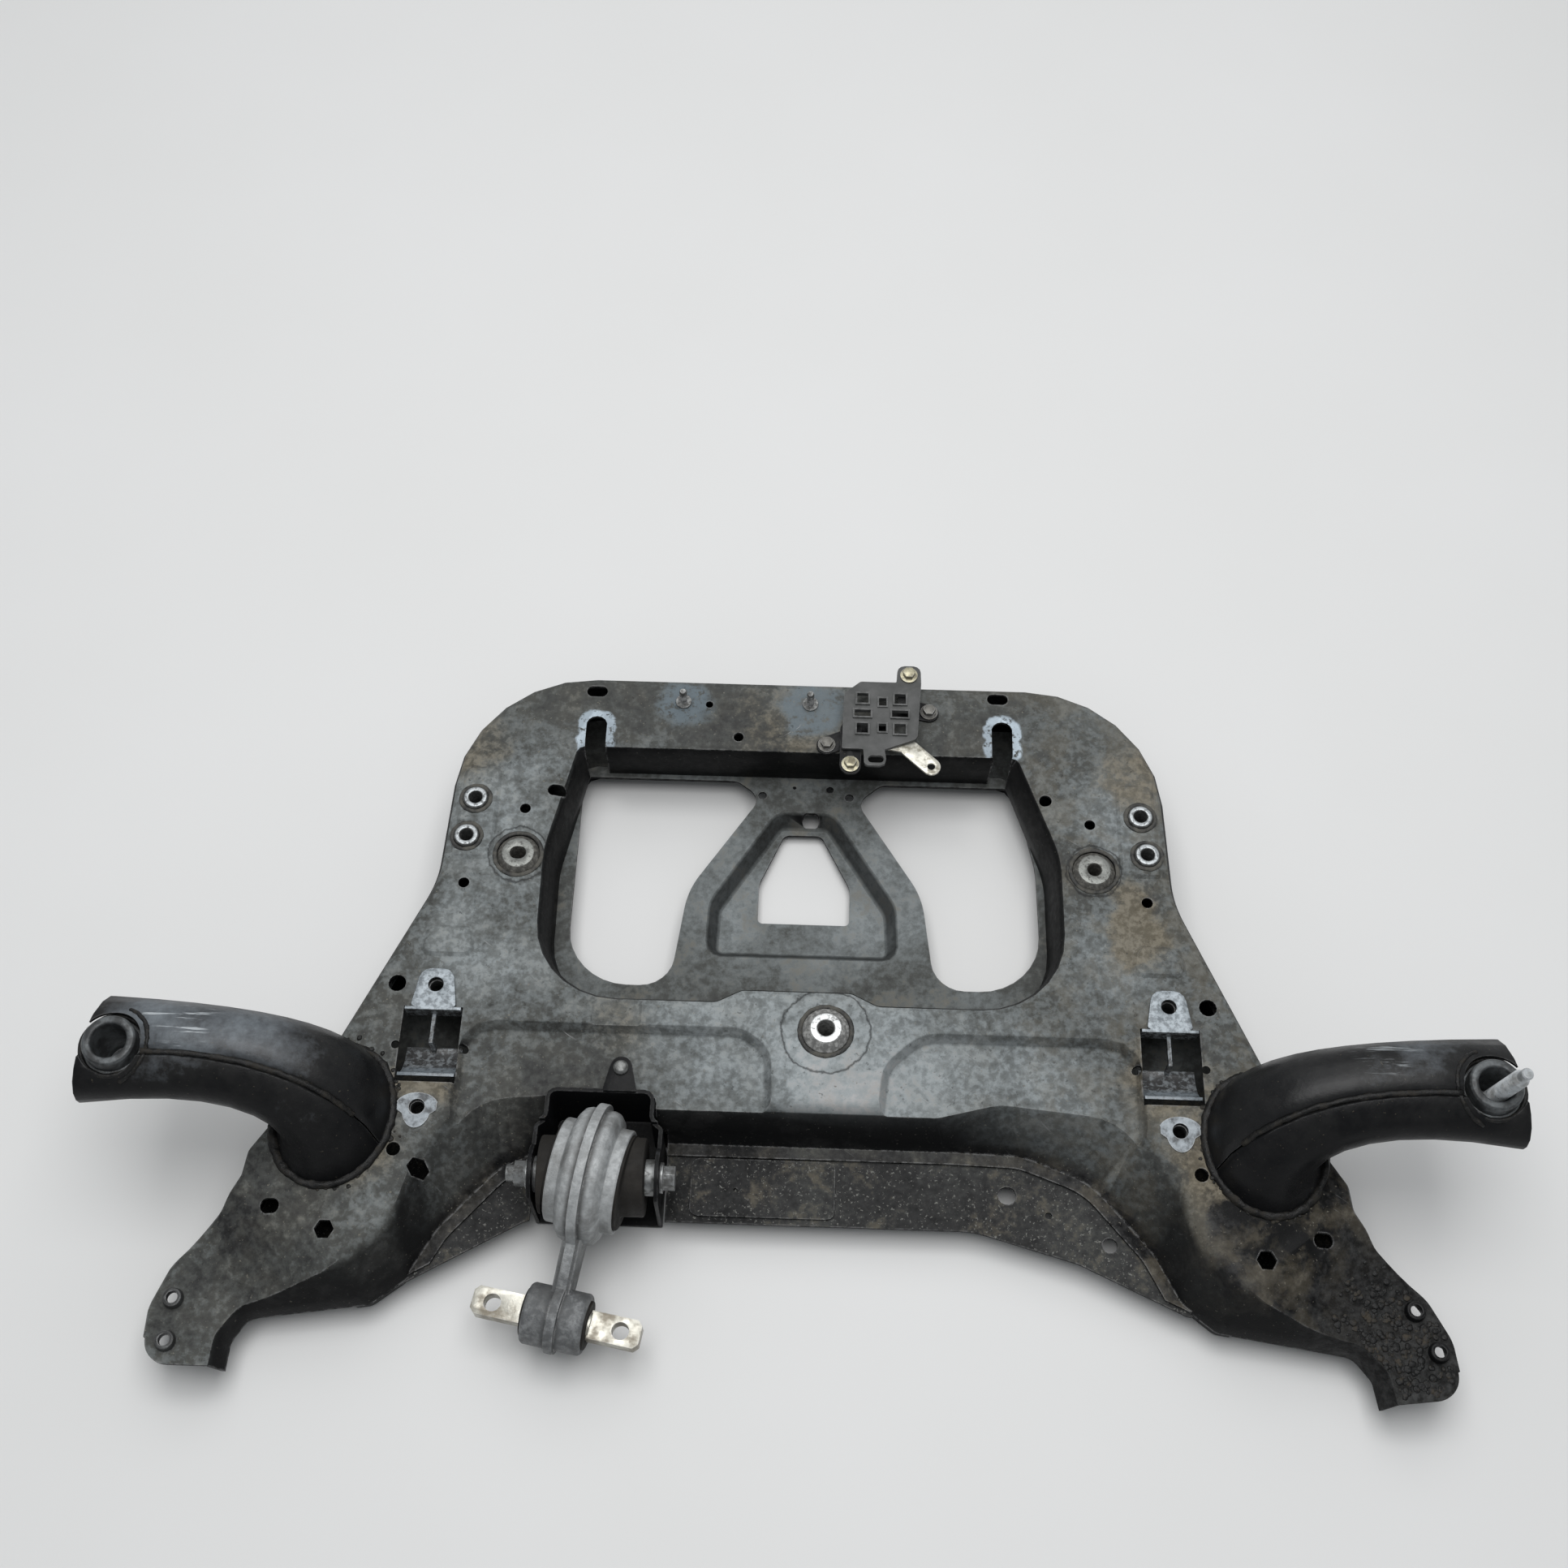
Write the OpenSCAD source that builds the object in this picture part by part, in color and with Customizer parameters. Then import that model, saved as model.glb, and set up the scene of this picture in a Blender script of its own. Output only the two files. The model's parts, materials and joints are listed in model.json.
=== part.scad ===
// Front subframe of a car, top side up: two pressed shells welded into a box, two horns to the
// body, bolt collars, steering rack saddles, a rubber-bushed torque rod and a connector plate.
// The origin is the middle of the part's outline on the ground; +X is right, +Y is the rear.

/* [Pressed shells] */
// Sheet thickness of the two shells
sheet_t = 2.5; // [2:0.1:3]
// Height of the upper shell's top face
top_z = 68; // [64:1:72]
// Height of the top of the lower shell's lip, ledge and web
lip_z = 22.5; // [20:0.5:25]
// Rounding of the pressed top edges
edge_r = 7; // [5:0.5:9]
// Rounding of the lower shell's bottom edges
tray_r = 9; // [6:0.5:12]
// How far the lower walls reach up inside the upper ones
wall_lap = 11; // [6:1:16]
// Height of the pads on the two front ears
ear_z = 40; // [36:1:46]
// Depth of the lowered shelves beside the middle plateau
shelf_drop = 8; // [4:0.5:10]
// Height of the floor of the trough in the web
trough_z = 9; // [6:0.5:14]
// Width of the upper shell's weld flange on the lip
flange_w = 8; // [5:0.5:10]
// Rise of the pressed pads round the arm collars
pad_rise = 2; // [1:0.25:3]
// Gap between pieces that lie against each other
seat_gap = 0.3; // [0.2:0.05:0.5]

/* [Outline] */
// Outside of the side rails, from the middle
rail_x = 277; // [272:1:282]
// Rear edge of the rear bar
rear_y = 273.5; // [268:0.5:278]
// Rounding of the two rear corners
rear_corner_r = 106; // [80:2:110]
// Front ridge of the crossmember
ridge_y = -89.5; // [-93:0.5:-86]
// Front edge of the lip
lip_y = -164.5; // [-170:0.5:-158]
// Front end of the ears
ear_end_y = -281.5; // [-286:0.5:-276]
// How far the right ear is bent outwards, in degrees
right_ear_turn = 7; // [0:1:10]
// Width of the ledge round the opening, under the upper shell's inner wall
ledge_w = 8; // [7:0.5:11]

/* [Horns] */
// Distance between the two horn sleeves
horn_span = 956; // [940:2:970]
// Height of the horn's middle line at its end
horn_z = 122; // [112:1:126]
// Half width of the horn at its end
horn_half_w = 40; // [37:0.5:43]
// Half height of the horn at its end
horn_half_h = 27; // [24:0.5:30]
// Half length of the horn's foot, front to rear
foot_half_y = 52; // [46:1:54]
// Half width of the horn's foot, side to side
foot_half_x = 42; // [38:1:44]
// Sheet thickness of the horn halves
horn_t = 2.5; // [2:0.1:3.5]
// Outside diameter of the horn sleeve
sleeve_d = 37.5; // [34:0.5:42]
// Diameter of the collar round the sleeve
sleeve_collar_d = 44; // [42:0.5:46]
// Bore of the sleeve above its seat
sleeve_bore_d = 25; // [21:0.5:27]
// Bore of the seat at the bottom of the sleeve
sleeve_seat_d = 17; // [16:0.5:19]
// Height of the top of the sleeve
sleeve_top_z = 152; // [148:1:156]
// Diameter of the loose stud in the right sleeve
stud_d = 12.5; // [11:0.5:13]
// Lean of the loose stud, in degrees
stud_lean = 7; // [0:1:7]

/* [Bolt collars] */
// Outside diameter of the four arm collars
arm_collar_d = 19.5; // [17:0.5:22]
// Bore of the arm collars
arm_bore_d = 10.4; // [8.4:0.1:12]
// Outside diameter of the two rear mount collars
mount_collar_d = 33; // [30:0.5:36]
// Bore of the rear mount collars
mount_bore_d = 10.4; // [8.4:0.1:12.5]
// Outside diameter of the middle collar
mid_collar_d = 35; // [32:0.5:38]
// Bore of the middle collar
mid_bore_d = 12.4; // [10.4:0.1:14.5]
// How far the collars stand above the top face
collar_rise = 3; // [1:0.5:6]

/* [Rack saddles] */
// Width of a saddle along the steering rack
saddle_w = 42; // [38:1:48]
// Radius of the half-round seat
saddle_r = 29; // [26:0.5:31]
// Bore of the rack bolt holes
rack_bore_d = 11.5; // [10.4:0.1:12.5]

/* [Torque rod] */
// Height of the torque rod bolt
rod_bolt_z = 58; // [56:0.5:60]
// Diameter of the torque rod bolt
rod_bolt_d = 12; // [10:0.5:14]
// Outside diameter of the big bush housing
housing_d = 96; // [90:1:98]
// Width of the big bush housing
housing_w = 50; // [44:1:52]
// Wall of the housing's drum
housing_wall = 14; // [13:0.5:15]
// Outside diameter of the steel inner sleeve
inner_sleeve_d = 26; // [22:0.5:30]
// Distance from the big bush to the small ring, along the rod
rod_reach = 98; // [92:1:104]
// Drop of the small ring below the bolt
rod_drop = 24; // [20:1:28]
// How far the rod is turned from straight ahead, in degrees
rod_yaw = 10.5; // [6:0.5:12]
// Outside diameter of the small ring
ring_d = 43; // [40:0.5:46]
// Width of the small ring
ring_w = 44; // [38:1:48]
// Wall of the small ring
ring_wall = 4.5; // [3.5:0.5:6]
// Length of the end bar
bar_l = 122; // [112:1:130]
// Width of the end bar
bar_w = 20; // [18:0.5:23]
// Thickness of the end bar
bar_t = 12; // [10:0.5:14]
// Distance between the two end bar holes
bar_pitch = 93; // [88:0.5:98]
// Diameter of the end bar holes
bar_hole_d = 12.4; // [10.4:0.1:13]
// Running clearance at the two rubber bushes, on the radius
bush_gap = 0.05; // [0.03:0.01:0.1]

/* [Connector plate] */
// Height of the connector plate's underside above the top face
plate_rise = 14; // [12:0.5:18]
// Thickness of the connector plate
plate_t = 3; // [2:0.5:4]
// Sheet thickness of the plate bracket and of the zinc arm
bracket_t = 2; // [1.5:0.25:2.5]

/* [Hidden] */
$fn = 48;
hole_fn = 14;
far = 400;

shell_black = [0.17, 0.18, 0.18];
horn_black = [0.12, 0.12, 0.13];
rubber_black = [0.06, 0.06, 0.06];
bare_steel = [0.66, 0.68, 0.70];
cast_grey = [0.52, 0.53, 0.54];
zinc_gold = [0.72, 0.68, 0.50];

// Places of holes and collars, as x and y on the top face
wall_z = lip_z + seat_gap;
ear_root = [400, -163];
arm_spots = [[261.5, 155.5], [265, 122]];
mount_spot = [223.5, 108.5];
mid_spot = [19, -31];
rack_rear_spot = [273.5, -4];
rack_front_spot = [276, -99.5];
left_ear_spots = [[-435, -236.5], [-435, -266]];
right_ear_spots = [[437, -216.5], [450, -244.5]];
stud_spots = [[-103, 251.5], [0, 252.5]];
rod_x = -147;
rod_y = -143.5;

// Steps of an arc, by its radius
function arc_steps(r) = r < 6 ? 2 : r < 30 ? 3 : r < 80 ? 4 : 6;
function lerp(a, b, u) = a + (b - a) * u;
function left_of(d) = [-d[1], d[0]];
function turned(v, a) = [v[0] * cos(a) - v[1] * sin(a), v[0] * sin(a) + v[1] * cos(a)];

// Points of one rounded corner b = [x, y, radius, steps] between corners a and c, moved in by e
function corner_points(a, b, c, e) =
    let (p = [b[0], b[1]])
    let (d1 = (p - [a[0], a[1]]) / norm(p - [a[0], a[1]]))
    let (d2 = ([c[0], c[1]] - p) / norm([c[0], c[1]] - p))
    let (n1 = left_of(d1), n2 = left_of(d2))
    let (turn = atan2(d1[0] * d2[1] - d1[1] * d2[0], d1 * d2))
    let (side = turn < 0 ? -1 : 1)
    let (r = max(b[2] - side * e, 0.05))
    let (start = p + (n1 + n2) * e / (1 + n1 * n2) - d1 * r * tan(abs(turn) / 2))
    [for (i = [0:b[3]]) start + side * r * (n1 - turned(n1, turn * i / b[3]))];

// Closed outline through rounded corners, counterclockwise, moved in by e
function outline(corners, e) =
    let (n = len(corners))
    [for (i = [0:n - 1])
        each corner_points(corners[(i + n - 1) % n], corners[i], corners[(i + 1) % n], e)];

function with_steps(corners) = [for (c = corners) [c[0], c[1], c[2], arc_steps(c[2])]];
function with_fine_steps(corners) = [for (c = with_steps(corners)) [c[0], c[1], c[2], 2 * c[3]]];

// Corners between the foot (u = 0) and the top (u = 1) of a drafted wall
function drafted(pairs, u, more = 0) =
    [for (p = pairs) [lerp(p[1][0], p[0][0], u), lerp(p[1][1], p[0][1], u),
        lerp(p[1][2], p[0][2], u), arc_steps(p[0][2]) + (p[0][2] < 50 ? 0 : more)]];
function wall_u(z) = (z - wall_z) / (top_z - wall_z);
function at_z(points, z) = [for (p = points) [p[0], p[1], z]];
function flipped(pairs) =
    [for (i = [len(pairs) - 1:-1:0]) [for (c = pairs[i]) [-c[0], c[1], c[2]]]];

// Solid through rings of the same number of points, from the lowest ring to the highest
module loft(rings) {
    n = len(rings[0]);
    m = len(rings);
    sides = [for (j = [0:m - 2], i = [0:n - 1])
        let (a = j * n + i, b = j * n + (i + 1) % n)
        each [[a, a + n, b + n], [a, b + n, b]]];
    floor_face = [[for (i = [0:n - 1]) i]];
    roof_face = [[for (i = [0:n - 1]) m * n - 1 - i]];
    polyhedron([for (r = rings) each r], concat(floor_face, sides, roof_face));
}

// Upper shell's outer edge on the right half, front to rear: [top corner, foot corner]
front_edge = [
    [[100, ridge_y, 20], [110, ridge_y - 18, 40]],
    [[145, ridge_y + 14.5, 25], [165, ridge_y - 19.5, 50]],
    [[236, ridge_y + 8, 40], [215, ridge_y - 38, 60]],
    [[273, -135, 60], [258, -178, 60]],
    [[284, -182, 50], [276, -213, 20]],
    [[315, -214, 40], [300, -232, 15]]];
ear_edge = [
    [[396, -232, 25], [384, -245, 14]],
    [[415, -258, 20], [394, -262, 10]],
    [[418, ear_end_y - 14, 3], [395, ear_end_y - 14, 3]],
    [[450, ear_end_y - 14, 3], [451, ear_end_y - 14, 3]],
    [[451, -243, 30], [452, -243, 30]],
    [[440, -213, 30], [441, -213, 30]],
    [[408, -178, 20], [409, -178, 20]]];
side_edge = [
    [[396, -152, 10], [398, -152, 10]],
    [[394, -134, 10], [397, -134, 10]],
    [[rail_x + 69, -58, 150], [rail_x + 73, -58, 150]],
    [[rail_x + 7, 86, 90], [rail_x + 11, 86, 90]],
    [[rail_x, rear_y, rear_corner_r], [rail_x + 4, rear_y + 4, rear_corner_r + 4]]];
function ear_turned(c, a) =
    let (v = turned([c[0], c[1]] - ear_root, a))
    [ear_root[0] + v[0], ear_root[1] + v[1], c[2]];
function half_edge(a) =
    concat(front_edge, [for (p = ear_edge) [for (c = p) ear_turned(c, a)]], side_edge);
shell_edge = concat(half_edge(right_ear_turn), flipped(half_edge(0)));

// Big opening in the upper shell, counterclockwise: [top corner, foot corner]
opening_edge = [
    [[-201, -8, 62], [-194, -1, 56]],
    [[-64, -8, 12], [-60, -1, 12]],
    [[-45, 2, 12], [-42, 9, 12]],
    [[38, 2, 12], [35, 9, 12]],
    [[58, -8, 12], [54, -1, 12]],
    [[198, -8, 62], [191, -1, 56]],
    [[197, 120, 90], [190, 120, 90]],
    [[166, 206.5, 5], [160, 209, 5]],
    [[-184, 206.5, 5], [-178, 209, 5]],
    [[-203, 115, 90], [-196, 115, 90]]];

// Rounded edge of a pressed face: [height, inset] from the foot z_low to the face, d inside it
function pressed(d, z_low) = concat([[z_low, d], [tray_top, d]],
    [for (a = [0:45:90])
        [top_z - edge_r + (edge_r - d) * sin(a), d + (edge_r - d) * (1 - cos(a))]]);

// Block of the upper shell, d inside its outer faces
module upper_block(d, z_low) {
    rim = pressed(d, z_low);
    difference() {
        union() {
            loft([for (s = rim) at_z(outline(drafted(shell_edge, wall_u(s[0])), s[1]), s[0])]);
            raised_pads(d);
        }
        loft(concat(
            [for (s = rim)
                at_z(outline(drafted(opening_edge, wall_u(s[0]), 3), -s[1]), s[0] - (s == rim[0] ? 1 : 0))],
            [at_z(outline(drafted(opening_edge, 1, 3), -edge_r), top_z + 1)]));
        shelf_cut(d);
        for (side = [0, 1])
            mirror([side, 0, 0])
                ear_ramp(d);
    }
}

// Pressed pads that stand above the top face: round the arm collars and behind the rack saddles
pad_run = 3;
arm_pad = with_steps([[243, 103, 8], [276, 103, 4], [273, 186, 8], [243, 186, 8]]);
ridge_pad = with_steps([[247, 20, 8], [291, 20, 8], [286, 46, 8], [251, 46, 8]]);
module raised_pads(d) {
    for (side = [0, 1], corners = [arm_pad, ridge_pad])
        mirror([side, 0, 0])
            loft([at_z(outline(corners, d), top_z - 5 - d), at_z(outline(corners, d), top_z - d),
                at_z(outline(corners, d + pad_run), top_z - d + pad_rise)]);
}

// Lowered shelves on both sides of the middle plateau, for the steering rack
shelf_right = with_steps([[62, -130, 5], [246, -130, 5], [246, -37, 20], [92, -37, 30], [68, -60, 20]]);
shelf_left = with_steps([[-246, -130, 5], [-24, -130, 5], [-28, -50, 16], [-44, -37, 20], [-246, -37, 20]]);
shelf_run = 9;
// Shallow band across the plateau, behind the torque rod
band = with_steps([[-153, -60, 2], [-121, -60, 2], [-121, -11, 2], [-153, -11, 2]]);
band_drop = 1.6;
module shelf_cut(d) {
    for (c = [[shelf_right, shelf_drop, shelf_run], [shelf_left, shelf_drop, shelf_run],
        [band, band_drop, 4]])
        loft([for (s = [0:0.25:1])
            at_z(outline(c[0], -d - c[2] * s),
                top_z - d - c[1] + (c[1] + 0.5 + d) * (1 - cos(180 * s)) / 2)]);
}

// Sloping face from the top plate down to the ear pad
ramp_turn = -53;
ramp_start = 346;
ramp_end = 431;
module ear_ramp(d) {
    slope = [for (s = [0:0.125:1])
        [lerp(ramp_start, ramp_end, s), lerp(top_z, ear_z, (1 - cos(180 * s)) / 2) - d]];
    rotate([90, 0, ramp_turn])
        linear_extrude(2 * far, center = true)
            polygon(concat([[ramp_start, top_z + 1]], slope, [[ramp_end + far, ear_z - d],
                [ramp_end + far, top_z + 1]]));
}

// Round hole through the top face, whose flats stay outside the circle
module drill(spot, d, z_low = wall_z + 8) {
    translate([spot[0], spot[1], z_low])
        cylinder(d = d / cos(180 / hole_fn), h = far, $fn = hole_fn);
}
module hex_hole(spot, d) {
    translate([spot[0], spot[1], wall_z])
        cylinder(d = d, h = far, $fn = 6);
}
module slot_hole(spot, length, width, turn = 0) {
    translate([spot[0], spot[1], 0])
        rotate(turn)
            hull()
                for (s = [-1, 1])
                    translate([s * (length - width) / 2, 0, 0])
                        cylinder(d = width, h = far, $fn = hole_fn);
}

// Both ears end in a straight open cut with one rounded corner
ear_corner = [450, 18];
module ear_end_cut() {
    for (side = [[0, right_ear_turn], [1, 0]])
        mirror([side[0], 0, 0])
            translate([ear_root[0], ear_root[1], -1])
                rotate(side[1])
                    translate([-ear_root[0], -ear_root[1], 0])
                        linear_extrude(far) {
                            translate([ear_root[0] - 60, ear_end_y - 60])
                                square([160, 60]);
                            translate([ear_corner[0] - ear_corner[1], ear_end_y + ear_corner[1]])
                                difference() {
                                    translate([0, -ear_corner[1]])
                                        square(ear_corner[1] + 8);
                                    circle(ear_corner[1]);
                                    translate([-1, 0])
                                        square(ear_corner[1] + 20);
                                }
                        }
}

// Notch in the crossmember for the torque rod, wider at the bracket's ears
pocket_l = rod_x - 37;
pocket_r = rod_x + 43.5;
pocket_y = -80.5;
pocket_corner = 8;
ear_out = 7;
jog_y = -103;
module rod_pocket(grow, z_low) {
    translate([0, 0, z_low])
        linear_extrude(far) {
            polygon(outline(with_steps([[pocket_l, -200, 1], [pocket_r, -200, 1],
                [pocket_r, pocket_y, pocket_corner], [pocket_l, pocket_y, pocket_corner]]), 0));
            translate([pocket_l - ear_out - grow, -220])
                square([pocket_r - pocket_l + 2 * (ear_out + grow), jog_y + 3 + 220]);
        }
}

saddle_y = -44;
saddle_front_y = saddle_y - saddle_r - 6;
saddle_rear_y = -22;
module saddle_window() {
    for (side = [-1, 1])
        translate([side * rack_rear_spot[0] - saddle_w / 2 - 1, saddle_front_y - 1, wall_z])
            cube([saddle_w + 2, saddle_rear_y - saddle_front_y + 2, far]);
}

// Flange at the foot of the front wall, which is welded to the lip
module foot_flange() {
    foot = drafted(shell_edge, 0);
    translate([0, 0, wall_z])
        linear_extrude(sheet_t)
            intersection() {
                difference() {
                    polygon(outline(foot, -flange_w));
                    polygon(outline(foot, sheet_t / 2));
                }
                polygon(outline(lip_corners, 3));
            }
}

module upper_shell() {
    color(shell_black)
        difference() {
            union() {
                difference() {
                    upper_block(0, wall_z);
                    upper_block(sheet_t, wall_z - 1);
                }
                foot_flange();
            }
            ear_end_cut();
            rod_pocket(1, 0);
            saddle_window();
            for (side = [-1, 1]) {
                for (s = arm_spots)
                    drill([side * s[0], s[1]], arm_collar_d + 2 * seat_gap);
                drill([side * mount_spot[0], mount_spot[1]], mount_collar_d + 2 * seat_gap);
                drill([side * rack_rear_spot[0], rack_rear_spot[1]], rack_bore_d + 1);
                drill([side * rack_front_spot[0], rack_front_spot[1]], rack_bore_d);
                drill([side * 248, -52], 6.3);
                drill([side * 298, -52], 6.3);
                drill([side * 222, 149], 8.5);
                drill([side * 263, 82.5], 8.5);
                drill([side * 303, -3], 13);
                drill([side * 289, -131.5], 10);
                hex_hole([side * 330, -191], 14.5);
                slot_hole([side * 371.5, -175], 14, 10.5);
            }
            drill(mid_spot, mid_collar_d + 2 * seat_gap);
            hex_hole([-271, -143], 14.5);
            slot_hole([-174, 259.5], 17, 10);
            slot_hole([152, 262.5], 17, 10);
            slot_hole([-172, 218], 36, 17, 90);
            slot_hole([155, 222], 38, 17, 90);
            slot_hole([-199, 166.5], 14, 10);
            slot_hole([188, 169.5], 10, 10);
            for (s = left_ear_spots)
                drill(s, ear_nut_d - 5, 0);
            for (s = right_ear_spots)
                drill(s, ear_nut_d - 5, 0);
            for (s = stud_spots)
                drill(s, rear_stud_d + 2 * seat_gap);
            drill([-82, 250], 6);
            drill([-57, 220], 8);
            for (s = bracket_bolt_spots)
                drill(s, bracket_bolt_d + 2 * seat_gap);
        }
}

// Lower shell: a tray with the ledge, the web and the front lip
tray_in = sheet_t + seat_gap;
tray_top = wall_z + wall_lap;
module tray_block(d, z_top) {
    bowl = concat([for (a = [90:-45:0])
            [tray_r - (tray_r - d) * sin(a), tray_in + d + (tray_r - d) * (1 - cos(a))]],
        [[wall_z, tray_in + d], [z_top, tray_in + d]]);
    loft([for (s = bowl) at_z(outline(drafted(shell_edge, max(wall_u(s[0]), 0)), s[1]), s[0])]);
}
ledge_draft = 1.5;
module ledge_block(d, z_low) {
    corners = drafted(opening_edge, 0);
    loft([at_z(outline(corners, d - ledge_w - ledge_draft), z_low),
        at_z(outline(corners, d - ledge_w), lip_z - 3),
        at_z(outline(corners, d - ledge_w + 2), lip_z - d)]);
}
web_trough = with_steps([[-78, 46, 14], [76, 46, 14], [74, 95, 30], [22, 178, 16], [-26, 178, 16],
    [-77, 95, 30]]);
trough_run = 11;
module trough(d) {
    loft([for (s = [0:0.25:1])
        at_z(outline(web_trough, trough_run * (1 - s) - d),
            lerp(trough_z - d, lip_z + 0.5, (1 - cos(180 * s)) / 2))]);
}
left_d_opening = with_fine_steps([[-184, 21, 48], [-103, 21, 26], [-93, 104, 70], [-38, 190, 12],
    [-58, 205, 12], [-184, 205, 6]]);
right_d_opening = with_fine_steps([[103, 24, 26], [186, 24, 48], [184, 130, 90], [168, 205, 6],
    [60, 205, 12], [40, 188, 12], [93, 104, 70]]);
triangle_opening = with_fine_steps([[-37, 83, 4], [36, 83, 4], [36, 116, 20], [12, 163, 7],
    [-18, 163, 7], [-37, 118, 20]]);
lip_corners = with_steps([[-290, -222, 4], [-191, lip_y, 40], [130, lip_y, 70], [205, lip_y - 21, 40],
    [284, -222, 4], [302, -200, 5], [240, -70, 5], [-240, -70, 5], [-302, -200, 5]]);
lip_holes = [[155, -137, 13.5], [228.5, -171.5, 11], [185, -151, 5]];
web_holes = [[-37, 192, 7], [18, 199, 6], [34, 192, 7], [-11, 200, 3]];

module lower_shell() {
    color(shell_black)
        difference() {
            union() {
                tray_block(0, tray_top);
                translate([0, 0, lip_z - sheet_t])
                    linear_extrude(sheet_t)
                        polygon(outline(lip_corners, 0));
            }
            difference() {
                tray_block(sheet_t, tray_top + 1);
                ledge_block(0, -1);
            }
            difference() {
                ledge_block(sheet_t, -1);
                trough(sheet_t);
            }
            trough(0);
            for (corners = [left_d_opening, right_d_opening, triangle_opening])
                translate([0, 0, -1])
                    linear_extrude(far)
                        polygon(outline(corners, 0));
            for (side = [0, 1])
                mirror([side, 0, 0])
                    rotate(ramp_turn)
                        translate([372, -far, -1])
                            cube([far, 2 * far, far]);
            rod_pocket(2, sheet_t + seat_gap / 2);
            for (h = concat(lip_holes, web_holes))
                slot_hole(h, h[2] + 0.2, h[2]);
            slot_hole([3, 173], 14, 8);
            for (side = [-1, 1]) {
                for (s = arm_spots)
                    drill([side * s[0], s[1]], arm_bore_d + 1, -1);
                drill([side * mount_spot[0], mount_spot[1]], mount_bore_d + 1, -1);
                for (s = [-70, 0, 70])
                    translate([0, 0, -1])
                        slot_hole([side * 330 - s * side * 0.3, s - 20], 22, 14, 60 * side);
            }
            drill(mid_spot, mid_bore_d + 1, -1);
        }
}

// Doubler plate on the lip, beside the torque rod
doubler_t = 2;
doubler_y = ridge_y - 19 - flange_w;
module lip_doubler() {
    corners = with_steps([[-77, -160, 6], [29, -160, 6], [29, doubler_y, 6], [-77, doubler_y, 6]]);
    color(shell_black)
        translate([0, 0, lip_z])
            difference() {
                linear_extrude(doubler_t)
                    polygon(outline(corners, 0));
                translate([-44, -140, -1])
                    cylinder(d = 3, h = 9);
            }
}

// Horn: its middle line is a curve in an upright plane from the foot to the end
horn_foot = [-336, -107.5];
horn_dir = [-cos(7.8), sin(7.8)];
horn_side = [sin(7.8), cos(7.8)];
sleeve_run = (horn_span / 2 + horn_foot[0]) / cos(7.8);
horn_run = sleeve_run + 24.5;
function bezier(a, b, c, d, s) =
    a * pow(1 - s, 3) + 3 * b * s * pow(1 - s, 2) + 3 * c * s * s * (1 - s) + d * pow(s, 3);
function horn_line(s) = [bezier(0, 4, 50, horn_run, s), bezier(top_z, top_z + 46, horn_z + 9, horn_z, s)];
function horn_slope(s) =
    let (v = horn_line(s + 0.005) - horn_line(s - 0.005))
    v / norm(v);
function half_w(s) = bezier(foot_half_y, foot_half_y - 14, horn_half_w - 12, horn_half_w, s);
function half_h(s) = bezier(foot_half_x, foot_half_x - 9, horn_half_h - 1, horn_half_h, s);
// The middle line bows to the rear between the foot and the end
function bow(s) = bezier(0, 12, 22, horn_bow, s);
// Share of the curve at which it reaches a run along the horn
function run_share(run, low = 0, high = 1, tries = 12) =
    let (mid = (low + high) / 2)
    tries == 0 ? mid
        : horn_line(mid)[0] < run ? run_share(run, mid, high, tries - 1)
        : run_share(run, low, mid, tries - 1);
// The sleeve's collar is cut out of the end, so that two lobes stay beside it
collar_clear = sleeve_collar_d / 2 + seat_gap;
function horn_reach(a) = run_share(horn_run - 7 + end_slant * (horn_half_w * cos(a) + horn_bow));
// The two halves turn down into a groove at the seam
seam_dip = 3.5;
seam_angle = 108;
horn_bow = 1;
end_slant = -0.03;
function seam_drop(a) = abs(a - seam_angle) < 3 ? seam_dip : 0;
function horn_point(a, share, inset) =
    let (s = horn_reach(a) * share)
    let (c = horn_line(s), t = horn_slope(s))
    let (w = (half_w(s) - inset) * cos(a) + bow(s) + (a > seam_angle ? -1 : 1) * seat_gap / 2)
    let (h = (half_h(s) - inset - seam_drop(a) * min(1, 4 * s)) * sin(a))
    let (d = c[0] - h * t[1], z = c[1] + h * t[0])
    [horn_foot[0] + horn_dir[0] * d + horn_side[0] * w, horn_foot[1] + horn_dir[1] * d + horn_side[1] * w,
        max(z, top_z)];
horn_rings = 10;
horn_steps = [0, 6, 20, 38, 58, 76, 90, 104, 122, 142, 160, 174, 180];
// Half of a horn's tube, from the seam on top to the seam below, as a sheet
module horn_half(first, last) {
    n = len(horn_steps);
    angles = [for (step = horn_steps) lerp(first + 0.5, last - 0.5, step / 180)];
    rings = [for (j = [0:horn_rings])
        concat([for (i = [0:n - 1]) horn_point(angles[i], j / horn_rings, 0)],
            [for (i = [n - 1:-1:0]) horn_point(angles[i], j / horn_rings, horn_t)])];
    m = 2 * n;
    sides = [for (j = [0:horn_rings - 1], i = [0:m - 1])
        let (a = j * m + i, b = j * m + (i + 1) % m)
        each [[a, b + m, a + m], [a, b, b + m]]];
    top = horn_rings * m;
    caps = [for (i = [0:n - 2])
        each [[i, m - 2 - i, i + 1], [i, m - 1 - i, m - 2 - i],
            [top + i, top + i + 1, top + m - 2 - i], [top + i, top + m - 2 - i, top + m - 1 - i]]];
    difference() {
        polyhedron([for (r = rings) each r], concat(sides, caps));
        translate([-horn_span / 2, sleeve_y, 0])
            cylinder(r = collar_clear, h = far);
    }
}
module left_horn_rear() { color(horn_black) horn_half(-90, seam_angle); }
module left_horn_front() { color(horn_black) horn_half(seam_angle, 270); }
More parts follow.
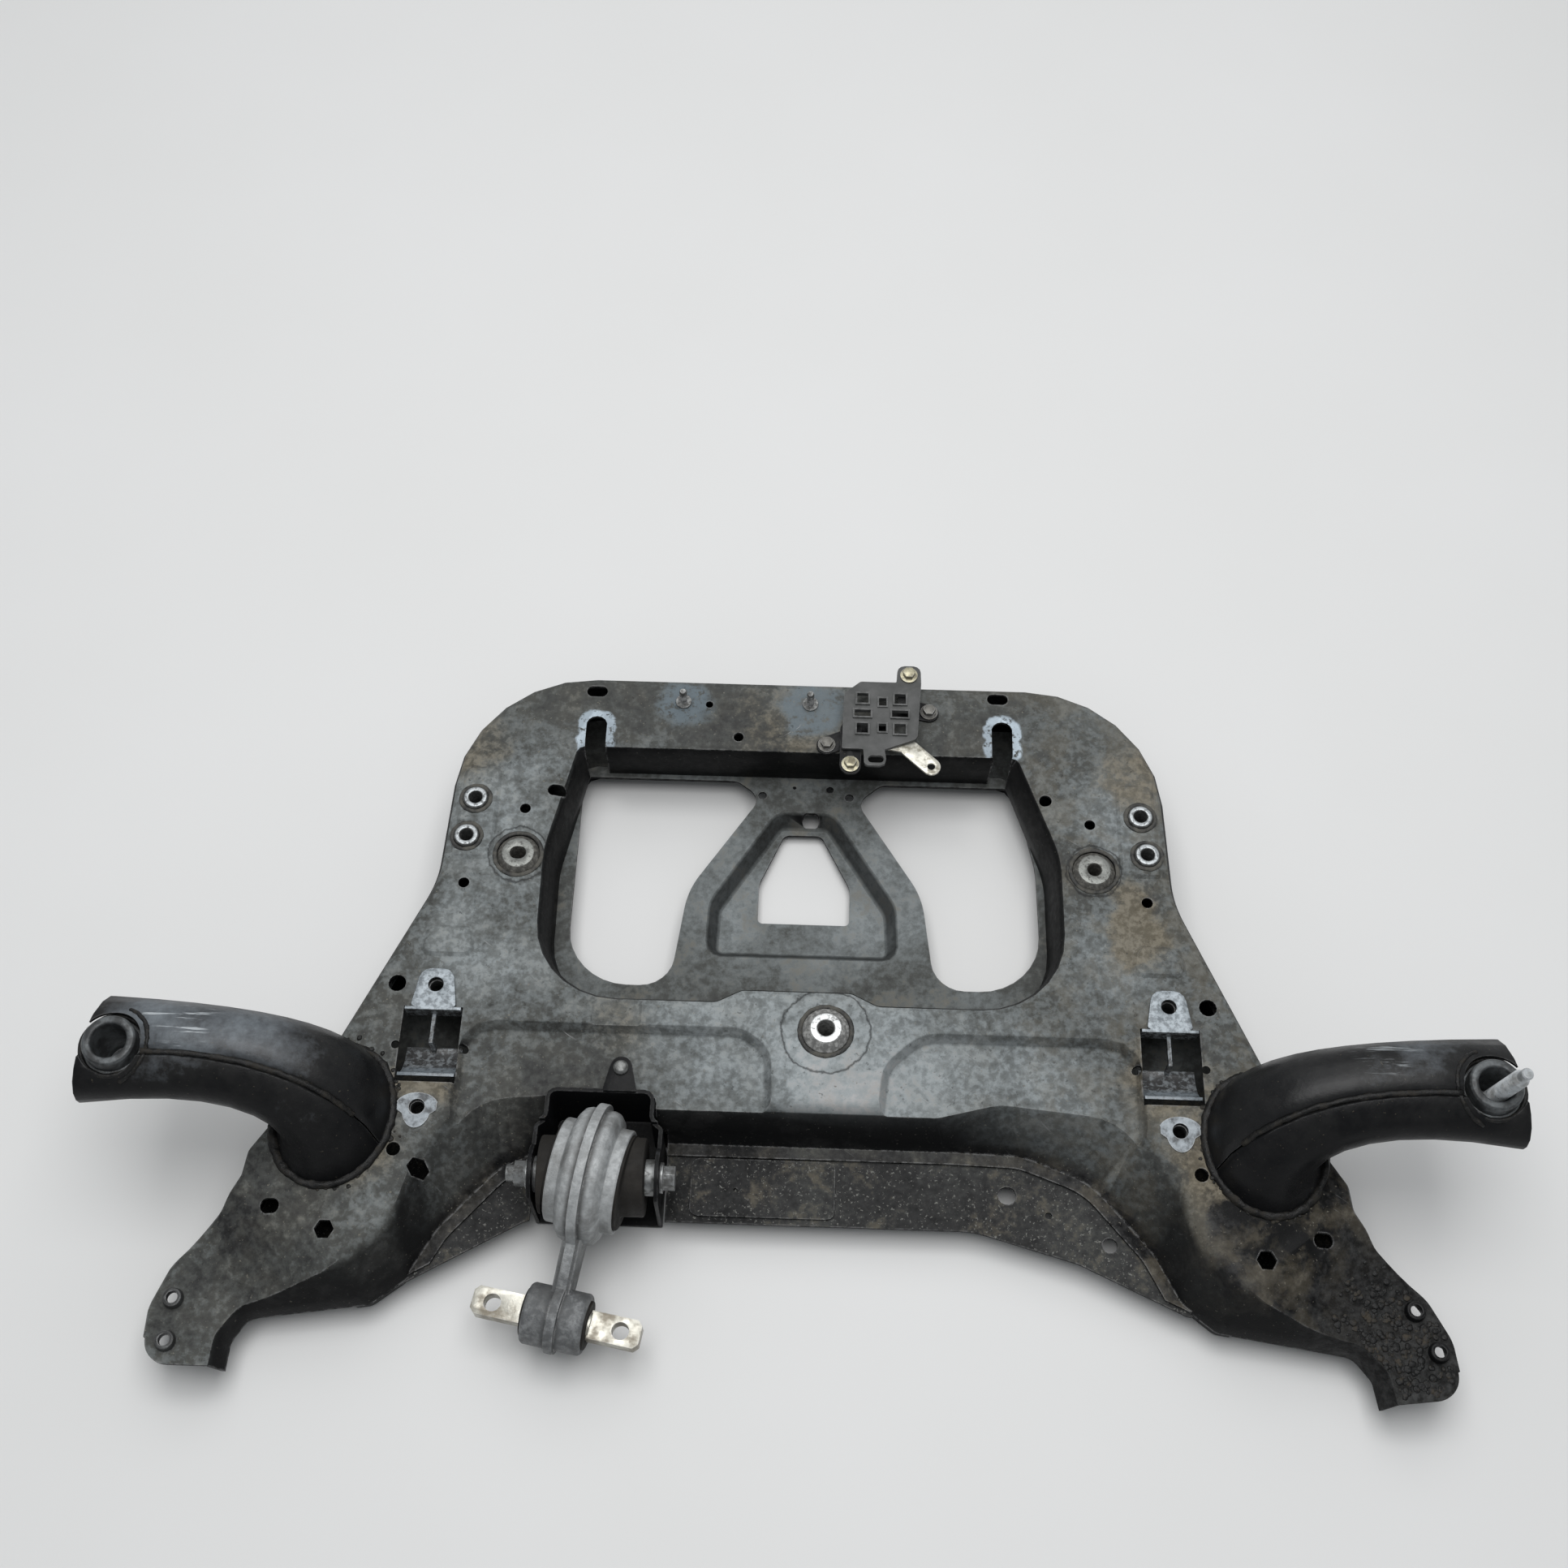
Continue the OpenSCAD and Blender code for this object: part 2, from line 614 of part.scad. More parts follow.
module right_horn_rear() { color(horn_black) mirror([1, 0, 0]) horn_half(-90, seam_angle); }
module right_horn_front() { color(horn_black) mirror([1, 0, 0]) horn_half(seam_angle, 270); }

// Upright sleeve in the horn's end, with a collar that the two halves close round
sleeve_low_z = horn_z - horn_half_h + 1;
sleeve_seat_h = 12;
sleeve_y = horn_foot[1] + horn_dir[1] * sleeve_run;
module horn_sleeve() {
    rotate_extrude()
        polygon([[sleeve_seat_d / 2, sleeve_low_z], [sleeve_collar_d / 2, sleeve_low_z],
            [sleeve_collar_d / 2, sleeve_top_z - 12], [sleeve_d / 2, sleeve_top_z - 12],
            [sleeve_d / 2, sleeve_top_z - 1.5], [sleeve_d / 2 - 1.5, sleeve_top_z],
            [sleeve_bore_d / 2 + 1, sleeve_top_z], [sleeve_bore_d / 2, sleeve_top_z - 1],
            [sleeve_bore_d / 2, sleeve_low_z + sleeve_seat_h],
            [sleeve_seat_d / 2, sleeve_low_z + sleeve_seat_h]]);
}
module left_horn_sleeve() {
    color(bare_steel)
        translate([-horn_span / 2, sleeve_y, 0])
            horn_sleeve();
}
module right_horn_sleeve() {
    color(bare_steel)
        translate([horn_span / 2, sleeve_y, 0])
            horn_sleeve();
}

// Loose stud that leans in the right sleeve, held by its head below
stud_rise = 46;
stud_head_h = 8;
module loose_stud() {
    color(bare_steel)
        translate([horn_span / 2, sleeve_y, sleeve_low_z + sleeve_seat_h / 2])
            rotate([0, stud_lean * 0.8, 0])
                rotate([stud_lean * 0.5, 0, 0])
                    translate([0, 0, -sleeve_seat_h / 2 - stud_head_h - 3]) {
                        cylinder(d = 22, h = stud_head_h, $fn = 6);
                        cylinder(d = stud_d, h = sleeve_top_z - sleeve_low_z + stud_rise - 8);
                        cylinder(d = stud_d - 4, h = sleeve_top_z - sleeve_low_z + stud_rise);
                    }
}

// Bolt collars: tubes from the tray's floor through the top face
module collar(spot, d, bore, rise, bevel) {
    low = sheet_t + seat_gap;
    high = top_z + rise;
    translate([spot[0], spot[1], 0])
        rotate_extrude()
            polygon([[bore / 2, low], [d / 2, low], [d / 2, high - bevel], [d / 2 - bevel, high],
                [bore / 2 + 0.6, high], [bore / 2, high - 0.6]]);
}
module arm_collars(side) {
    color(bare_steel)
        for (s = arm_spots)
            collar([side * s[0], s[1]], arm_collar_d, arm_bore_d, collar_rise + pad_rise, 1);
}
module left_arm_collars() { arm_collars(-1); }
module right_arm_collars() { arm_collars(1); }
module right_mount_collar() {
    color(bare_steel)
        collar(mount_spot, mount_collar_d, mount_bore_d, collar_rise, 4);
}
// The left mount collar has a slotted hole, so that the part can be lined up
mount_slot_l = 12.5;
module left_mount_collar() {
    low = sheet_t + seat_gap;
    high = top_z + collar_rise;
    color(bare_steel)
        translate([-mount_spot[0], mount_spot[1], 0])
            difference() {
                rotate_extrude()
                    polygon([[0, low], [mount_collar_d / 2, low], [mount_collar_d / 2, high - 4],
                        [mount_collar_d / 2 - 4, high], [0, high]]);
                for (s = [-1, 1])
                    translate([s * (mount_slot_l - mount_bore_d) / 2, 0, -1])
                        cylinder(d = mount_bore_d, h = far);
                translate([0, 0, far / 2 - 1])
                    cube([mount_slot_l - mount_bore_d, mount_bore_d, far], center = true);
            }
}
module mid_collar() {
    color(bare_steel)
        collar(mid_spot, mid_collar_d, mid_bore_d, collar_rise + 4, 6);
}

// Rack saddle: rear pad, folded lip, strap and quarter-round seat, pressed from one sheet
saddle_t = 2.5;
saddle_axis_z = top_z + 4;
module saddle_profile() {
    translate([0, saddle_axis_z])
        intersection() {
            difference() {
                circle(saddle_r + saddle_t);
                circle(saddle_r);
            }
            translate([-far, -far])
                square([far, far - 6]);
        }
}
module rack_saddle() {
    pad = with_steps([[-saddle_w / 2 + 4, saddle_rear_y, 2], [saddle_w / 2 - 4, saddle_rear_y, 2],
        [saddle_w / 2 - 9, rack_rear_spot[1] + 13, 9], [-saddle_w / 2 + 9, rack_rear_spot[1] + 13, 9]]);
    lip_y0 = saddle_rear_y - saddle_t;
    color(bare_steel)
        translate([rack_rear_spot[0], 0, 0]) {
            difference() {
                translate([0, 0, top_z])
                    linear_extrude(saddle_t)
                        polygon(outline(pad, 0));
                translate([0, rack_rear_spot[1], 0])
                    cylinder(d = rack_bore_d, h = far);
            }
            translate([-saddle_w / 2, lip_y0, top_z - 10])
                cube([saddle_w, saddle_t, 10 + saddle_t]);
            translate([-1.5, saddle_y - 4, top_z - 10])
                cube([3, lip_y0 - saddle_y + 5, 4]);
            translate([-1.5, saddle_y - 4, saddle_axis_z - saddle_r - saddle_t / 2])
                cube([3, 4, saddle_r - 8]);
            translate([-saddle_w / 2, saddle_y, 0])
                rotate([90, 0, 90])
                    linear_extrude(saddle_w)
                        saddle_profile();
        }
}
module right_rack_saddle() { rack_saddle(); }
module left_rack_saddle() { mirror([1, 0, 0]) rack_saddle(); }

// Nuts welded under the top face, for the rack bolts
rack_nut_d = 20;
rack_nut_h = 10;
module nut_ring(d, bore, h) {
    difference() {
        cylinder(d = d, h = h, $fn = 6);
        translate([0, 0, -1])
            cylinder(d = bore, h = h + 2);
    }
}
module rack_nuts() {
    color(bare_steel)
        for (side = [-1, 1], s = [rack_rear_spot, rack_front_spot])
            translate([side * s[0], s[1], top_z - sheet_t - rack_nut_h - seat_gap])
                nut_ring(rack_nut_d, rack_bore_d - 1.5, rack_nut_h);
}
ear_nut_d = 15;
ear_nut_h = 5;
module ear_nuts(spots) {
    color(bare_steel)
        for (s = spots)
            translate([s[0], s[1], ear_z + seat_gap])
                difference() {
                    cylinder(d1 = ear_nut_d, d2 = ear_nut_d - 2, h = ear_nut_h);
                    translate([0, 0, -1])
                        cylinder(d = ear_nut_d - 7, h = ear_nut_h + 2);
                }
}
module left_ear_nuts() { ear_nuts(left_ear_spots); }
module right_ear_nuts() { ear_nuts(right_ear_spots); }

// Bracket for the torque rod: a box of sheet with two ears for the bolt and a tab on top
plate_b = 3;
bracket_low = sheet_t + seat_gap;
bracket_back = pocket_y - 0.4;
bracket_front = rod_y - 20;
bracket_l = pocket_l + 0.5;
bracket_r = pocket_r - 0.5;
tab_x = [-142, -118];
tab_y = -57;
tab_r = 8;
riser_t = plate_b - 0.2;
rivet_spot = [-130, -66];
module bracket_plan(inset) {
    front = bracket_front - (inset > 0 ? 20 : 0);
    polygon(outline(with_steps([[bracket_l - ear_out, front, 1], [bracket_r + ear_out, front, 1],
        [bracket_r + ear_out, jog_y - 5, 4], [bracket_r, jog_y + 1, 4],
        [bracket_r, bracket_back, pocket_corner], [bracket_l, bracket_back, pocket_corner],
        [bracket_l, jog_y + 1, 4], [bracket_l - ear_out, jog_y - 5, 4]]), inset));
}
module bracket_side() {
    translate([jog_y - 2, 0])
        square([bracket_back - jog_y + 2, top_z]);
    hull() {
        translate([rod_y, rod_bolt_z])
            circle(21);
        translate([bracket_front, 0])
            square([jog_y - bracket_front, 12]);
    }
    hull() {
        translate([rod_y, rod_bolt_z])
            circle(9);
        translate([jog_y - 4, 10])
            square([4, top_z - 16]);
    }
}
module rod_bracket() {
    color(horn_black) {
        difference() {
            intersection() {
                linear_extrude(far)
                    difference() {
                        bracket_plan(0);
                        bracket_plan(plate_b);
                    }
                translate([rod_x - far / 2, 0, 0])
                    rotate([90, 0, 90])
                        linear_extrude(far)
                            bracket_side();
                translate([rod_x - far / 2, -far, bracket_low])
                    cube(far + far / 2);
            }
            translate([rod_x - far / 2, rod_y, rod_bolt_z])
                rotate([0, 90, 0])
                    cylinder(d = rod_bolt_d + 0.6, h = far);
        }
        translate([0, 0, bracket_low])
            linear_extrude(plate_b)
                bracket_plan(0);
        translate([tab_x[0], bracket_back - riser_t, top_z - 1])
            cube([tab_x[1] - tab_x[0], riser_t, 1 + seat_gap + plate_b]);
        translate([0, 0, top_z + seat_gap])
            linear_extrude(plate_b)
                hull() {
                    translate([tab_x[0], bracket_back - riser_t])
                        square([tab_x[1] - tab_x[0], riser_t]);
                    translate([rivet_spot[0], tab_y - tab_r])
                        circle(tab_r);
                }
    }
}
module bracket_rivet() {
    color(bare_steel)
        translate([rivet_spot[0], rivet_spot[1], top_z + seat_gap + plate_b])
            rotate_extrude()
                polygon([[0, 0], [5.5, 0], [5.5, 2], [4, 4], [0, 4.4]]);
}

// Torque rod bolt, along X through the bracket's ears
ear_out_l = bracket_l - ear_out;
ear_out_r = bracket_r + ear_out;
bolt_flange_d = 22;
nut_h = 11;
module along_x(x) {
    translate([x, rod_y, rod_bolt_z])
        rotate([0, 90, 0])
            children();
}
module rod_bolt() {
    color(zinc_gold) {
        along_x(ear_out_r)
            cylinder(d = bolt_flange_d, h = 2.5);
        along_x(ear_out_r + 2)
            cylinder(d = 18, h = 9, $fn = 6);
        along_x(ear_out_l - nut_h - 6)
            cylinder(d = rod_bolt_d, h = ear_out_r - ear_out_l + nut_h + 7);
    }
}
module rod_nut() {
    color(bare_steel)
        along_x(ear_out_l - nut_h)
            difference() {
                union() {
                    cylinder(d = 19, h = nut_h, $fn = 6);
                    translate([0, 0, nut_h - 2.5])
                        cylinder(d = bolt_flange_d, h = 2.5);
                }
                translate([0, 0, -1])
                    cylinder(d = rod_bolt_d + 0.2, h = nut_h + 2);
            }
}
module bush_sleeve() {
    inner_l = ear_out_l + plate_b + 0.2;
    inner_r = ear_out_r - plate_b - 0.2;
    color(bare_steel)
        along_x(inner_l)
            difference() {
                cylinder(d = inner_sleeve_d, h = inner_r - inner_l);
                translate([0, 0, -1])
                    cylinder(d = rod_bolt_d + 0.6, h = far);
            }
}

// The rod's own frame: X along both bushes, -Y towards the small ring
module rod_frame() {
    translate([rod_x, rod_y, rod_bolt_z])
        rotate(-rod_yaw)
            children();
}
housing_bore_d = housing_d - 2 * housing_wall;
hub_drop = 10.5;
hub_w = 8.5;
module big_bush() {
    cap_d = 56;
    color(rubber_black)
        difference() {
            union() {
                rod_frame()
                    rotate([0, 90, 0])
                        cylinder(d = housing_bore_d - 0.2, h = housing_w + 4, center = true);
                along_x(rod_x - 36)
                    cylinder(d = cap_d, h = 76);
            }
            along_x(rod_x - far / 2)
                cylinder(d = inner_sleeve_d + 2 * bush_gap, h = far);
        }
}
module round_along_x(profile) {
    rotate([90, 0, 90])
        rotate_extrude()
            polygon(profile);
}
module torque_rod() {
    half = housing_w / 2;
    outer = housing_d / 2;
    hub = outer - hub_drop;
    drum = half - hub_w;
    web_t = 13;
    rib_t = 7;
    color(cast_grey)
        rod_frame()
            difference() {
                union() {
                    round_along_x([[1, -half], [hub - 1, -half], [hub, 1 - half], [hub, -drum],
                        [outer - 5, 1.5 - drum], [outer - 1.2, 4.5 - drum], [outer, 8 - drum],
                        [outer, drum - 8], [outer - 1.2, drum - 4.5], [outer - 5, drum - 1.5],
                        [hub, drum], [hub, half - 1], [hub - 1, half], [1, half]]);
                    translate([0, -rod_reach, -rod_drop])
                        round_along_x([[1, -ring_w / 2], [ring_d / 2 - 1.5, -ring_w / 2],
                            [ring_d / 2, -ring_w / 2 + 2], [ring_d / 2, ring_w / 2 - 2],
                            [ring_d / 2 - 1.5, ring_w / 2], [1, ring_w / 2]]);
                    rod_web(outer - 16, ring_d / 2 - 6, web_t);
                    rod_web(outer + 4, ring_d / 2 + 3, rib_t);
                }
                translate([-far / 2, 0, 0])
                    rotate([0, 90, 0])
                        cylinder(d = housing_bore_d, h = far);
                translate([-far / 2, -rod_reach, -rod_drop])
                    rotate([0, 90, 0])
                        cylinder(d = ring_d - 2 * ring_wall, h = far);
            }
}
// Web between the two rings, and the rib that runs round both
module rod_web(r_big, r_small, t) {
    waist = 13;
    translate([-t / 2, 0, 0])
        rotate([90, 0, 90])
            linear_extrude(t) {
                circle(r_big);
                translate([-rod_reach, -rod_drop])
                    circle(r_small);
                hull() {
                    translate([-rod_reach, -rod_drop])
                        circle(waist - 3);
                    circle(waist + 9);
                }
            }
}
module small_bush() {
    color(rubber_black)
        rod_frame()
            translate([-ring_w / 2 - 1.5, -rod_reach, -rod_drop])
                rotate([0, 90, 0])
                    difference() {
                        cylinder(d = ring_d - 2 * ring_wall - 0.2, h = ring_w + 3);
                        translate([0, 0, -1])
                            cylinder(d = bar_w + 2 * bush_gap, h = ring_w + 6);
                    }
}
module end_bar() {
    mid_l = ring_w + 6;
    color(zinc_gold)
        rod_frame()
            translate([0, -rod_reach, -rod_drop])
                difference() {
                    union() {
                        translate([-mid_l / 2, 0, 0])
                            rotate([0, 90, 0])
                                cylinder(d = bar_w, h = mid_l);
                        for (side = [-1, 1])
                            translate([side * (bar_l / 2 + mid_l / 2 - 1) / 2, 0, 0])
                                cube([bar_l / 2 - mid_l / 2 + 1, bar_w, bar_t], center = true);
                    }
                    for (side = [-1, 1]) {
                        translate([side * bar_pitch / 2, 0, -bar_t])
                            cylinder(d = bar_hole_d, h = 2 * bar_t);
                        for (edge = [-1, 1])
                            translate([side * bar_l / 2, edge * bar_w / 2, 0])
                                rotate(45)
                                    cube([5, 5, 2 * bar_t], center = true);
                    }
                }
}

// Studs on the rear bar
rear_stud_d = 6;
rear_stud_rise = 17;
module rear_studs() {
    color(bare_steel)
        for (s = stud_spots)
            translate([s[0], s[1], top_z - sheet_t - 3])
                union() {
                    cylinder(d = rear_stud_d, h = rear_stud_rise + sheet_t + 3);
                    translate([0, 0, sheet_t + 3 + seat_gap])
                        cylinder(d = 13, h = 1.5);
                }
}

// Connector plate on its bracket, on the right of the rear bar
bracket_bolt_d = 6;
bracket_bolt_spots = [[96, 246.5], [14, 213.5]];
plate_bolt_spots = [[79, 272], [33, 189.5]];
lug_z = top_z + plate_rise - bracket_t - seat_gap;
module strap(a, b, w, t) {
    linear_extrude(t)
        hull()
            for (p = [a, b])
                translate(p)
                    circle(d = w, $fn = 24);
}
module plate_bracket() {
    base_z = top_z + seat_gap;
    leg_rear = [79, 250];
    leg_front = [33, 222];
    color(horn_black)
        difference() {
            union() {
                translate([0, 0, base_z]) {
                    strap(bracket_bolt_spots[0], leg_rear, 16, bracket_t);
                    strap(bracket_bolt_spots[1], leg_front, 16, bracket_t);
                    strap(leg_rear, leg_front, 16, bracket_t);
                }
                for (leg = [leg_rear, leg_front])
                    translate([leg[0], leg[1], base_z])
                        translate([-7, -1, 0])
                            cube([14, bracket_t, lug_z - base_z + bracket_t]);
                translate([0, 0, lug_z]) {
                    strap(leg_rear, plate_bolt_spots[0], 17, bracket_t);
                    strap(leg_front, plate_bolt_spots[1], 17, bracket_t);
                }
            }
            for (s = bracket_bolt_spots)
                drill(s, bracket_bolt_d + 2 * seat_gap, 0);
            for (s = plate_bolt_spots)
                drill(s, bracket_bolt_d + 2 * seat_gap, 0);
        }
}
plate_z = lug_z + bracket_t + seat_gap;
module connector_plate() {
    body = with_steps([[26, 202.5, 1], [43, 202.5, 1], [44, 187.5, 3], [62, 187.5, 5], [60, 202.5, 1],
        [86, 213, 5], [89, 264.5, 2], [88.5, 281.5, 6], [70, 281.5, 6], [69, 265.5, 1], [40, 265.5, 3],
        [27, 254, 5]]);
    color([0.28, 0.28, 0.28])
        difference() {
            translate([0, 0, plate_z])
                linear_extrude(plate_t)
                    polygon(outline(body, 0));
            drill(plate_bolt_spots[0], bracket_bolt_d + 2 * seat_gap, 0);
            for (s = [-1, 1])
                translate([53 + 3 * s, 193.5, 0])
                    cylinder(d = 6.5, h = far);
            translate([50, 190.25, 0])
                cube([6, 6.5, far]);
            for (row = [0:2], side = [-1, 1])
                translate([57 + side * 15, 221 + 14 * row, far / 2])
                    cube([row == 1 ? 13 : 9, row == 1 ? 6 : 9, far], center = true);
            for (row = [0, 1])
                translate([58, 222 + 24 * row, far / 2])
                    cube([6, 7, far], center = true);
        }
}
module zinc_arm() {
    tip = [97, 190];
    color(zinc_gold)
        translate([0, 0, plate_z - seat_gap - bracket_t])
            difference() {
                union() {
                    strap([80, 206], tip, 15, bracket_t);
                    strap([64, 209], [80, 206], 9, bracket_t);
                }
                translate([tip[0], tip[1], -1])
                    cylinder(d = 6, h = 5);
            }
}
module hex_bolt(z, head_d, grip) {
    translate([0, 0, z]) {
        cylinder(d = head_d + 4, h = 1.5);
        cylinder(d = head_d, h = 6, $fn = 6);
    }
    translate([0, 0, z - grip])
        cylinder(d = bracket_bolt_d, h = grip + 1);
}
module plate_bolts() {
    color(zinc_gold) {
        translate([plate_bolt_spots[0][0], plate_bolt_spots[0][1], 0])
            hex_bolt(plate_z + plate_t, 10, 12);
        translate([plate_bolt_spots[1][0], plate_bolt_spots[1][1], 0])
            hex_bolt(lug_z + bracket_t, 10, 9);
    }
}
module bracket_bolts() {
    color(shell_black)
        for (s = bracket_bolt_spots)
            translate([s[0], s[1], 0])
                hex_bolt(top_z + seat_gap + bracket_t, 10, 10);
}

upper_shell();
lower_shell();
lip_doubler();
left_horn_front();
left_horn_rear();
right_horn_front();
right_horn_rear();
left_horn_sleeve();
right_horn_sleeve();
loose_stud();
left_arm_collars();
right_arm_collars();
left_mount_collar();
right_mount_collar();
mid_collar();
left_rack_saddle();
right_rack_saddle();
rack_nuts();
left_ear_nuts();
right_ear_nuts();
rod_bracket();
bracket_rivet();
rod_bolt();
rod_nut();
bush_sleeve();
big_bush();
torque_rod();
small_bush();
end_bar();
rear_studs();
plate_bracket();
connector_plate();
zinc_arm();
plate_bolts();
bracket_bolts();
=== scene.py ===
"""Dresses a used car front subframe: coats, dirt, wear, weld beads and small fittings."""

import json
import math
import random

import bpy
from bpy.props import FloatProperty, FloatVectorProperty, PointerProperty
from bpy.types import Operator, Panel, PropertyGroup
from mathutils import Matrix, Vector
from mathutils.bvhtree import BVHTree

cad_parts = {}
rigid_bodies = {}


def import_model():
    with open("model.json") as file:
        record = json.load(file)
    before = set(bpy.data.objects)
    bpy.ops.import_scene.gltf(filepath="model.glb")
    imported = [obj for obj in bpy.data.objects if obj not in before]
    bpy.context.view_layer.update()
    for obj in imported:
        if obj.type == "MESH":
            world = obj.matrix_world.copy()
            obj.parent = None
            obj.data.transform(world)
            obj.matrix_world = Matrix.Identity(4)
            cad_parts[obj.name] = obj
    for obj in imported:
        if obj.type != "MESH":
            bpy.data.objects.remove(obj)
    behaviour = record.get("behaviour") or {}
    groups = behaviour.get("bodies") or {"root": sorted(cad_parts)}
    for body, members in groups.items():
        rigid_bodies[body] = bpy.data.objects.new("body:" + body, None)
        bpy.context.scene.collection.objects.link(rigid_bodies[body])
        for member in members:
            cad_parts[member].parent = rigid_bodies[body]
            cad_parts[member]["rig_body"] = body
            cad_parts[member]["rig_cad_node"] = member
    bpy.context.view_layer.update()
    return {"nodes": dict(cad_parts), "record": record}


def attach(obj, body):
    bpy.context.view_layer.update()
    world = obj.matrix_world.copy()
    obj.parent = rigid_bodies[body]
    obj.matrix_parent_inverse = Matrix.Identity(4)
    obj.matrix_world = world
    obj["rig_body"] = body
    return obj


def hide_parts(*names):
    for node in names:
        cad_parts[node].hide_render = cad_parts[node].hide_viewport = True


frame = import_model()

bl_info = {
    "name": "Front Subframe",
    "version": (1, 2, 0),
    "blender": (4, 5, 0),
    "location": "View3D > Sidebar > Subframe",
    "description": "Builds the coats, dirt, welds and fittings of a used car front subframe",
    "category": "Object",
}


def length(label, text, default, low, high):
    return FloatProperty(name=label, description=text, default=default, min=low, max=high, unit="LENGTH")


def shade(label, text, default):
    return FloatVectorProperty(name=label, description=text, default=default, min=0, max=1,
                               subtype="COLOR", size=3)


class SubframeSizes(PropertyGroup):
    """Sizes of the dressing."""

    sheet_round: length("Sheet Edge", "Rounding of the cut edges of pressed sheet", 0.0006, 0.0002, 0.0012)
    cast_round: length("Cast Edge", "Rounding of the cast torque rod's edges", 0.0016, 0.0005, 0.0025)
    fitting_round: length("Fitting Edge", "Rounding of collars, bolts and nuts", 0.0005, 0.0002, 0.001)
    bead_width: length("Weld Bead", "Radius of the weld beads round the horns", 0.0034, 0.002, 0.007)
    lump_size: length("Grease Lump", "Largest radius of grease and crust lumps", 0.0048, 0.002, 0.007)


class SubframeColours(PropertyGroup):
    """Colours of the finishes."""

    coat: shade("Coat", "Black dip coat of the shells", (0.0075, 0.0077, 0.008))
    dust: shade("Dust", "Thin dark road dust on upward faces", (0.078, 0.081, 0.077))
    film: shade("Road Film", "Grey film of dried road water", (0.17, 0.185, 0.187))
    chalk: shade("Chalk", "Palest dried road water", (0.33, 0.36, 0.37))
    mud: shade("Mud", "Olive brown dried mud", (0.125, 0.108, 0.078))
    horn: shade("Horn Coat", "Satin coat of the horns", (0.0075, 0.0077, 0.0085))
    steel: shade("Bare Steel", "Bright steel of the loose stud", (0.62, 0.65, 0.67))
    zinc: shade("Zinc", "Zinc plate with a yellow tint", (0.60, 0.585, 0.52))
    alloy: shade("Cast Alloy", "Matte cast alloy of the torque rod", (0.46, 0.475, 0.48))
    rubber: shade("Rubber", "Black bush rubber", (0.014, 0.0125, 0.011))
    plastic: shade("Plate", "Grey of the connector plate", (0.062, 0.064, 0.062))
    floor: shade("Floor", "Pale plain floor", (0.72, 0.72, 0.71))


def sizes():
    return bpy.context.scene.subframe_sizes


def colours():
    return bpy.context.scene.subframe_colours


def rgba(colour):
    return (colour[0], colour[1], colour[2], 1.0)


def grey(value):
    return (value, value, value, 1.0)


class Nodes:
    """Short hand for wiring one node tree."""

    def __init__(self, tree):
        self.tree = tree

    def add(self, kind, props=None, **inputs):
        node = self.tree.nodes.new(kind)
        for key, value in (props or {}).items():
            setattr(node, key, value)
        for key, value in inputs.items():
            self.feed(node.inputs[key], value)
        return node

    def feed(self, socket, value):
        if isinstance(value, bpy.types.NodeSocket):
            self.tree.links.new(value, socket)
        else:
            socket.default_value = value

    def wired(self, kind, props, values):
        """The outputs of a node whose inputs are fed by their numbers."""
        node = self.add(kind, props)
        for number, value in values:
            self.feed(node.inputs[number], value)
        return node.outputs

    def clouds(self, vector, scale, detail, roughness):
        return self.add("ShaderNodeTexNoise", Vector=vector, Scale=scale, Detail=detail,
                        Roughness=roughness).outputs

    def noise(self, vector, scale, detail=4.0, roughness=0.55):
        return self.clouds(vector, scale, detail, roughness)["Fac"]

    def ramp(self, value, low, high, start=0.0, end=1.0):
        values = enumerate((value, low, high, start, end))
        return self.wired("ShaderNodeMapRange", {"interpolation_type": "SMOOTHSTEP"}, values)["Result"]

    def blurred(self, value, level, blur, start=0.0, end=1.0):
        """A ramp that crosses its level over a blur on both sides."""
        low = self.math("SUBTRACT", level, blur)
        high = self.math("ADD", level, blur)
        return self.ramp(value, low, high, start, end)

    def math(self, operation, *values):
        return self.wired("ShaderNodeMath", {"operation": operation}, enumerate(values))[0]

    def times(self, first, second):
        return self.math("MULTIPLY", first, second)

    def largest(self, masks):
        total = masks[0]
        for mask in masks[1:]:
            total = self.math("MAXIMUM", total, mask)
        return total

    def weigh(self, terms, offset=0.0):
        """Adds up values, each times its weight."""
        total = offset
        for value, weight in terms:
            total = self.math("MULTIPLY_ADD", value, weight, total)
        return total

    def vector(self, operation, first, second):
        return self.wired("ShaderNodeVectorMath", {"operation": operation}, enumerate((first, second)))

    def split(self, vector):
        return self.add("ShaderNodeSeparateXYZ", Vector=vector).outputs

    def warp(self, vector, scale, amount):
        """Coordinates pushed about by noise, so that the masks drawn with them get ragged edges."""
        colour = self.clouds(vector, scale, 4.0, 0.6)["Color"]
        push = self.vector("SUBTRACT", colour, (0.5, 0.5, 0.5))["Vector"]
        push = self.vector("MULTIPLY", push, (amount, amount, amount))["Vector"]
        return self.vector("ADD", vector, push)["Vector"]

    def mix(self, factor, first, second):
        values = ((0, factor), (6, first), (7, second))
        return self.wired("ShaderNodeMix", {"data_type": "RGBA"}, values)[2]

    def palette(self, value, stops):
        """Turns a value into a colour along a row of stops."""
        node = self.add("ShaderNodeValToRGB", Fac=value)
        row = node.color_ramp.elements
        for element, (place, colour) in zip(row, (stops[0], stops[-1])):
            element.position = place
            element.color = colour
        for place, colour in stops[1:-1]:
            row.new(place).color = colour
        return node.outputs["Color"]


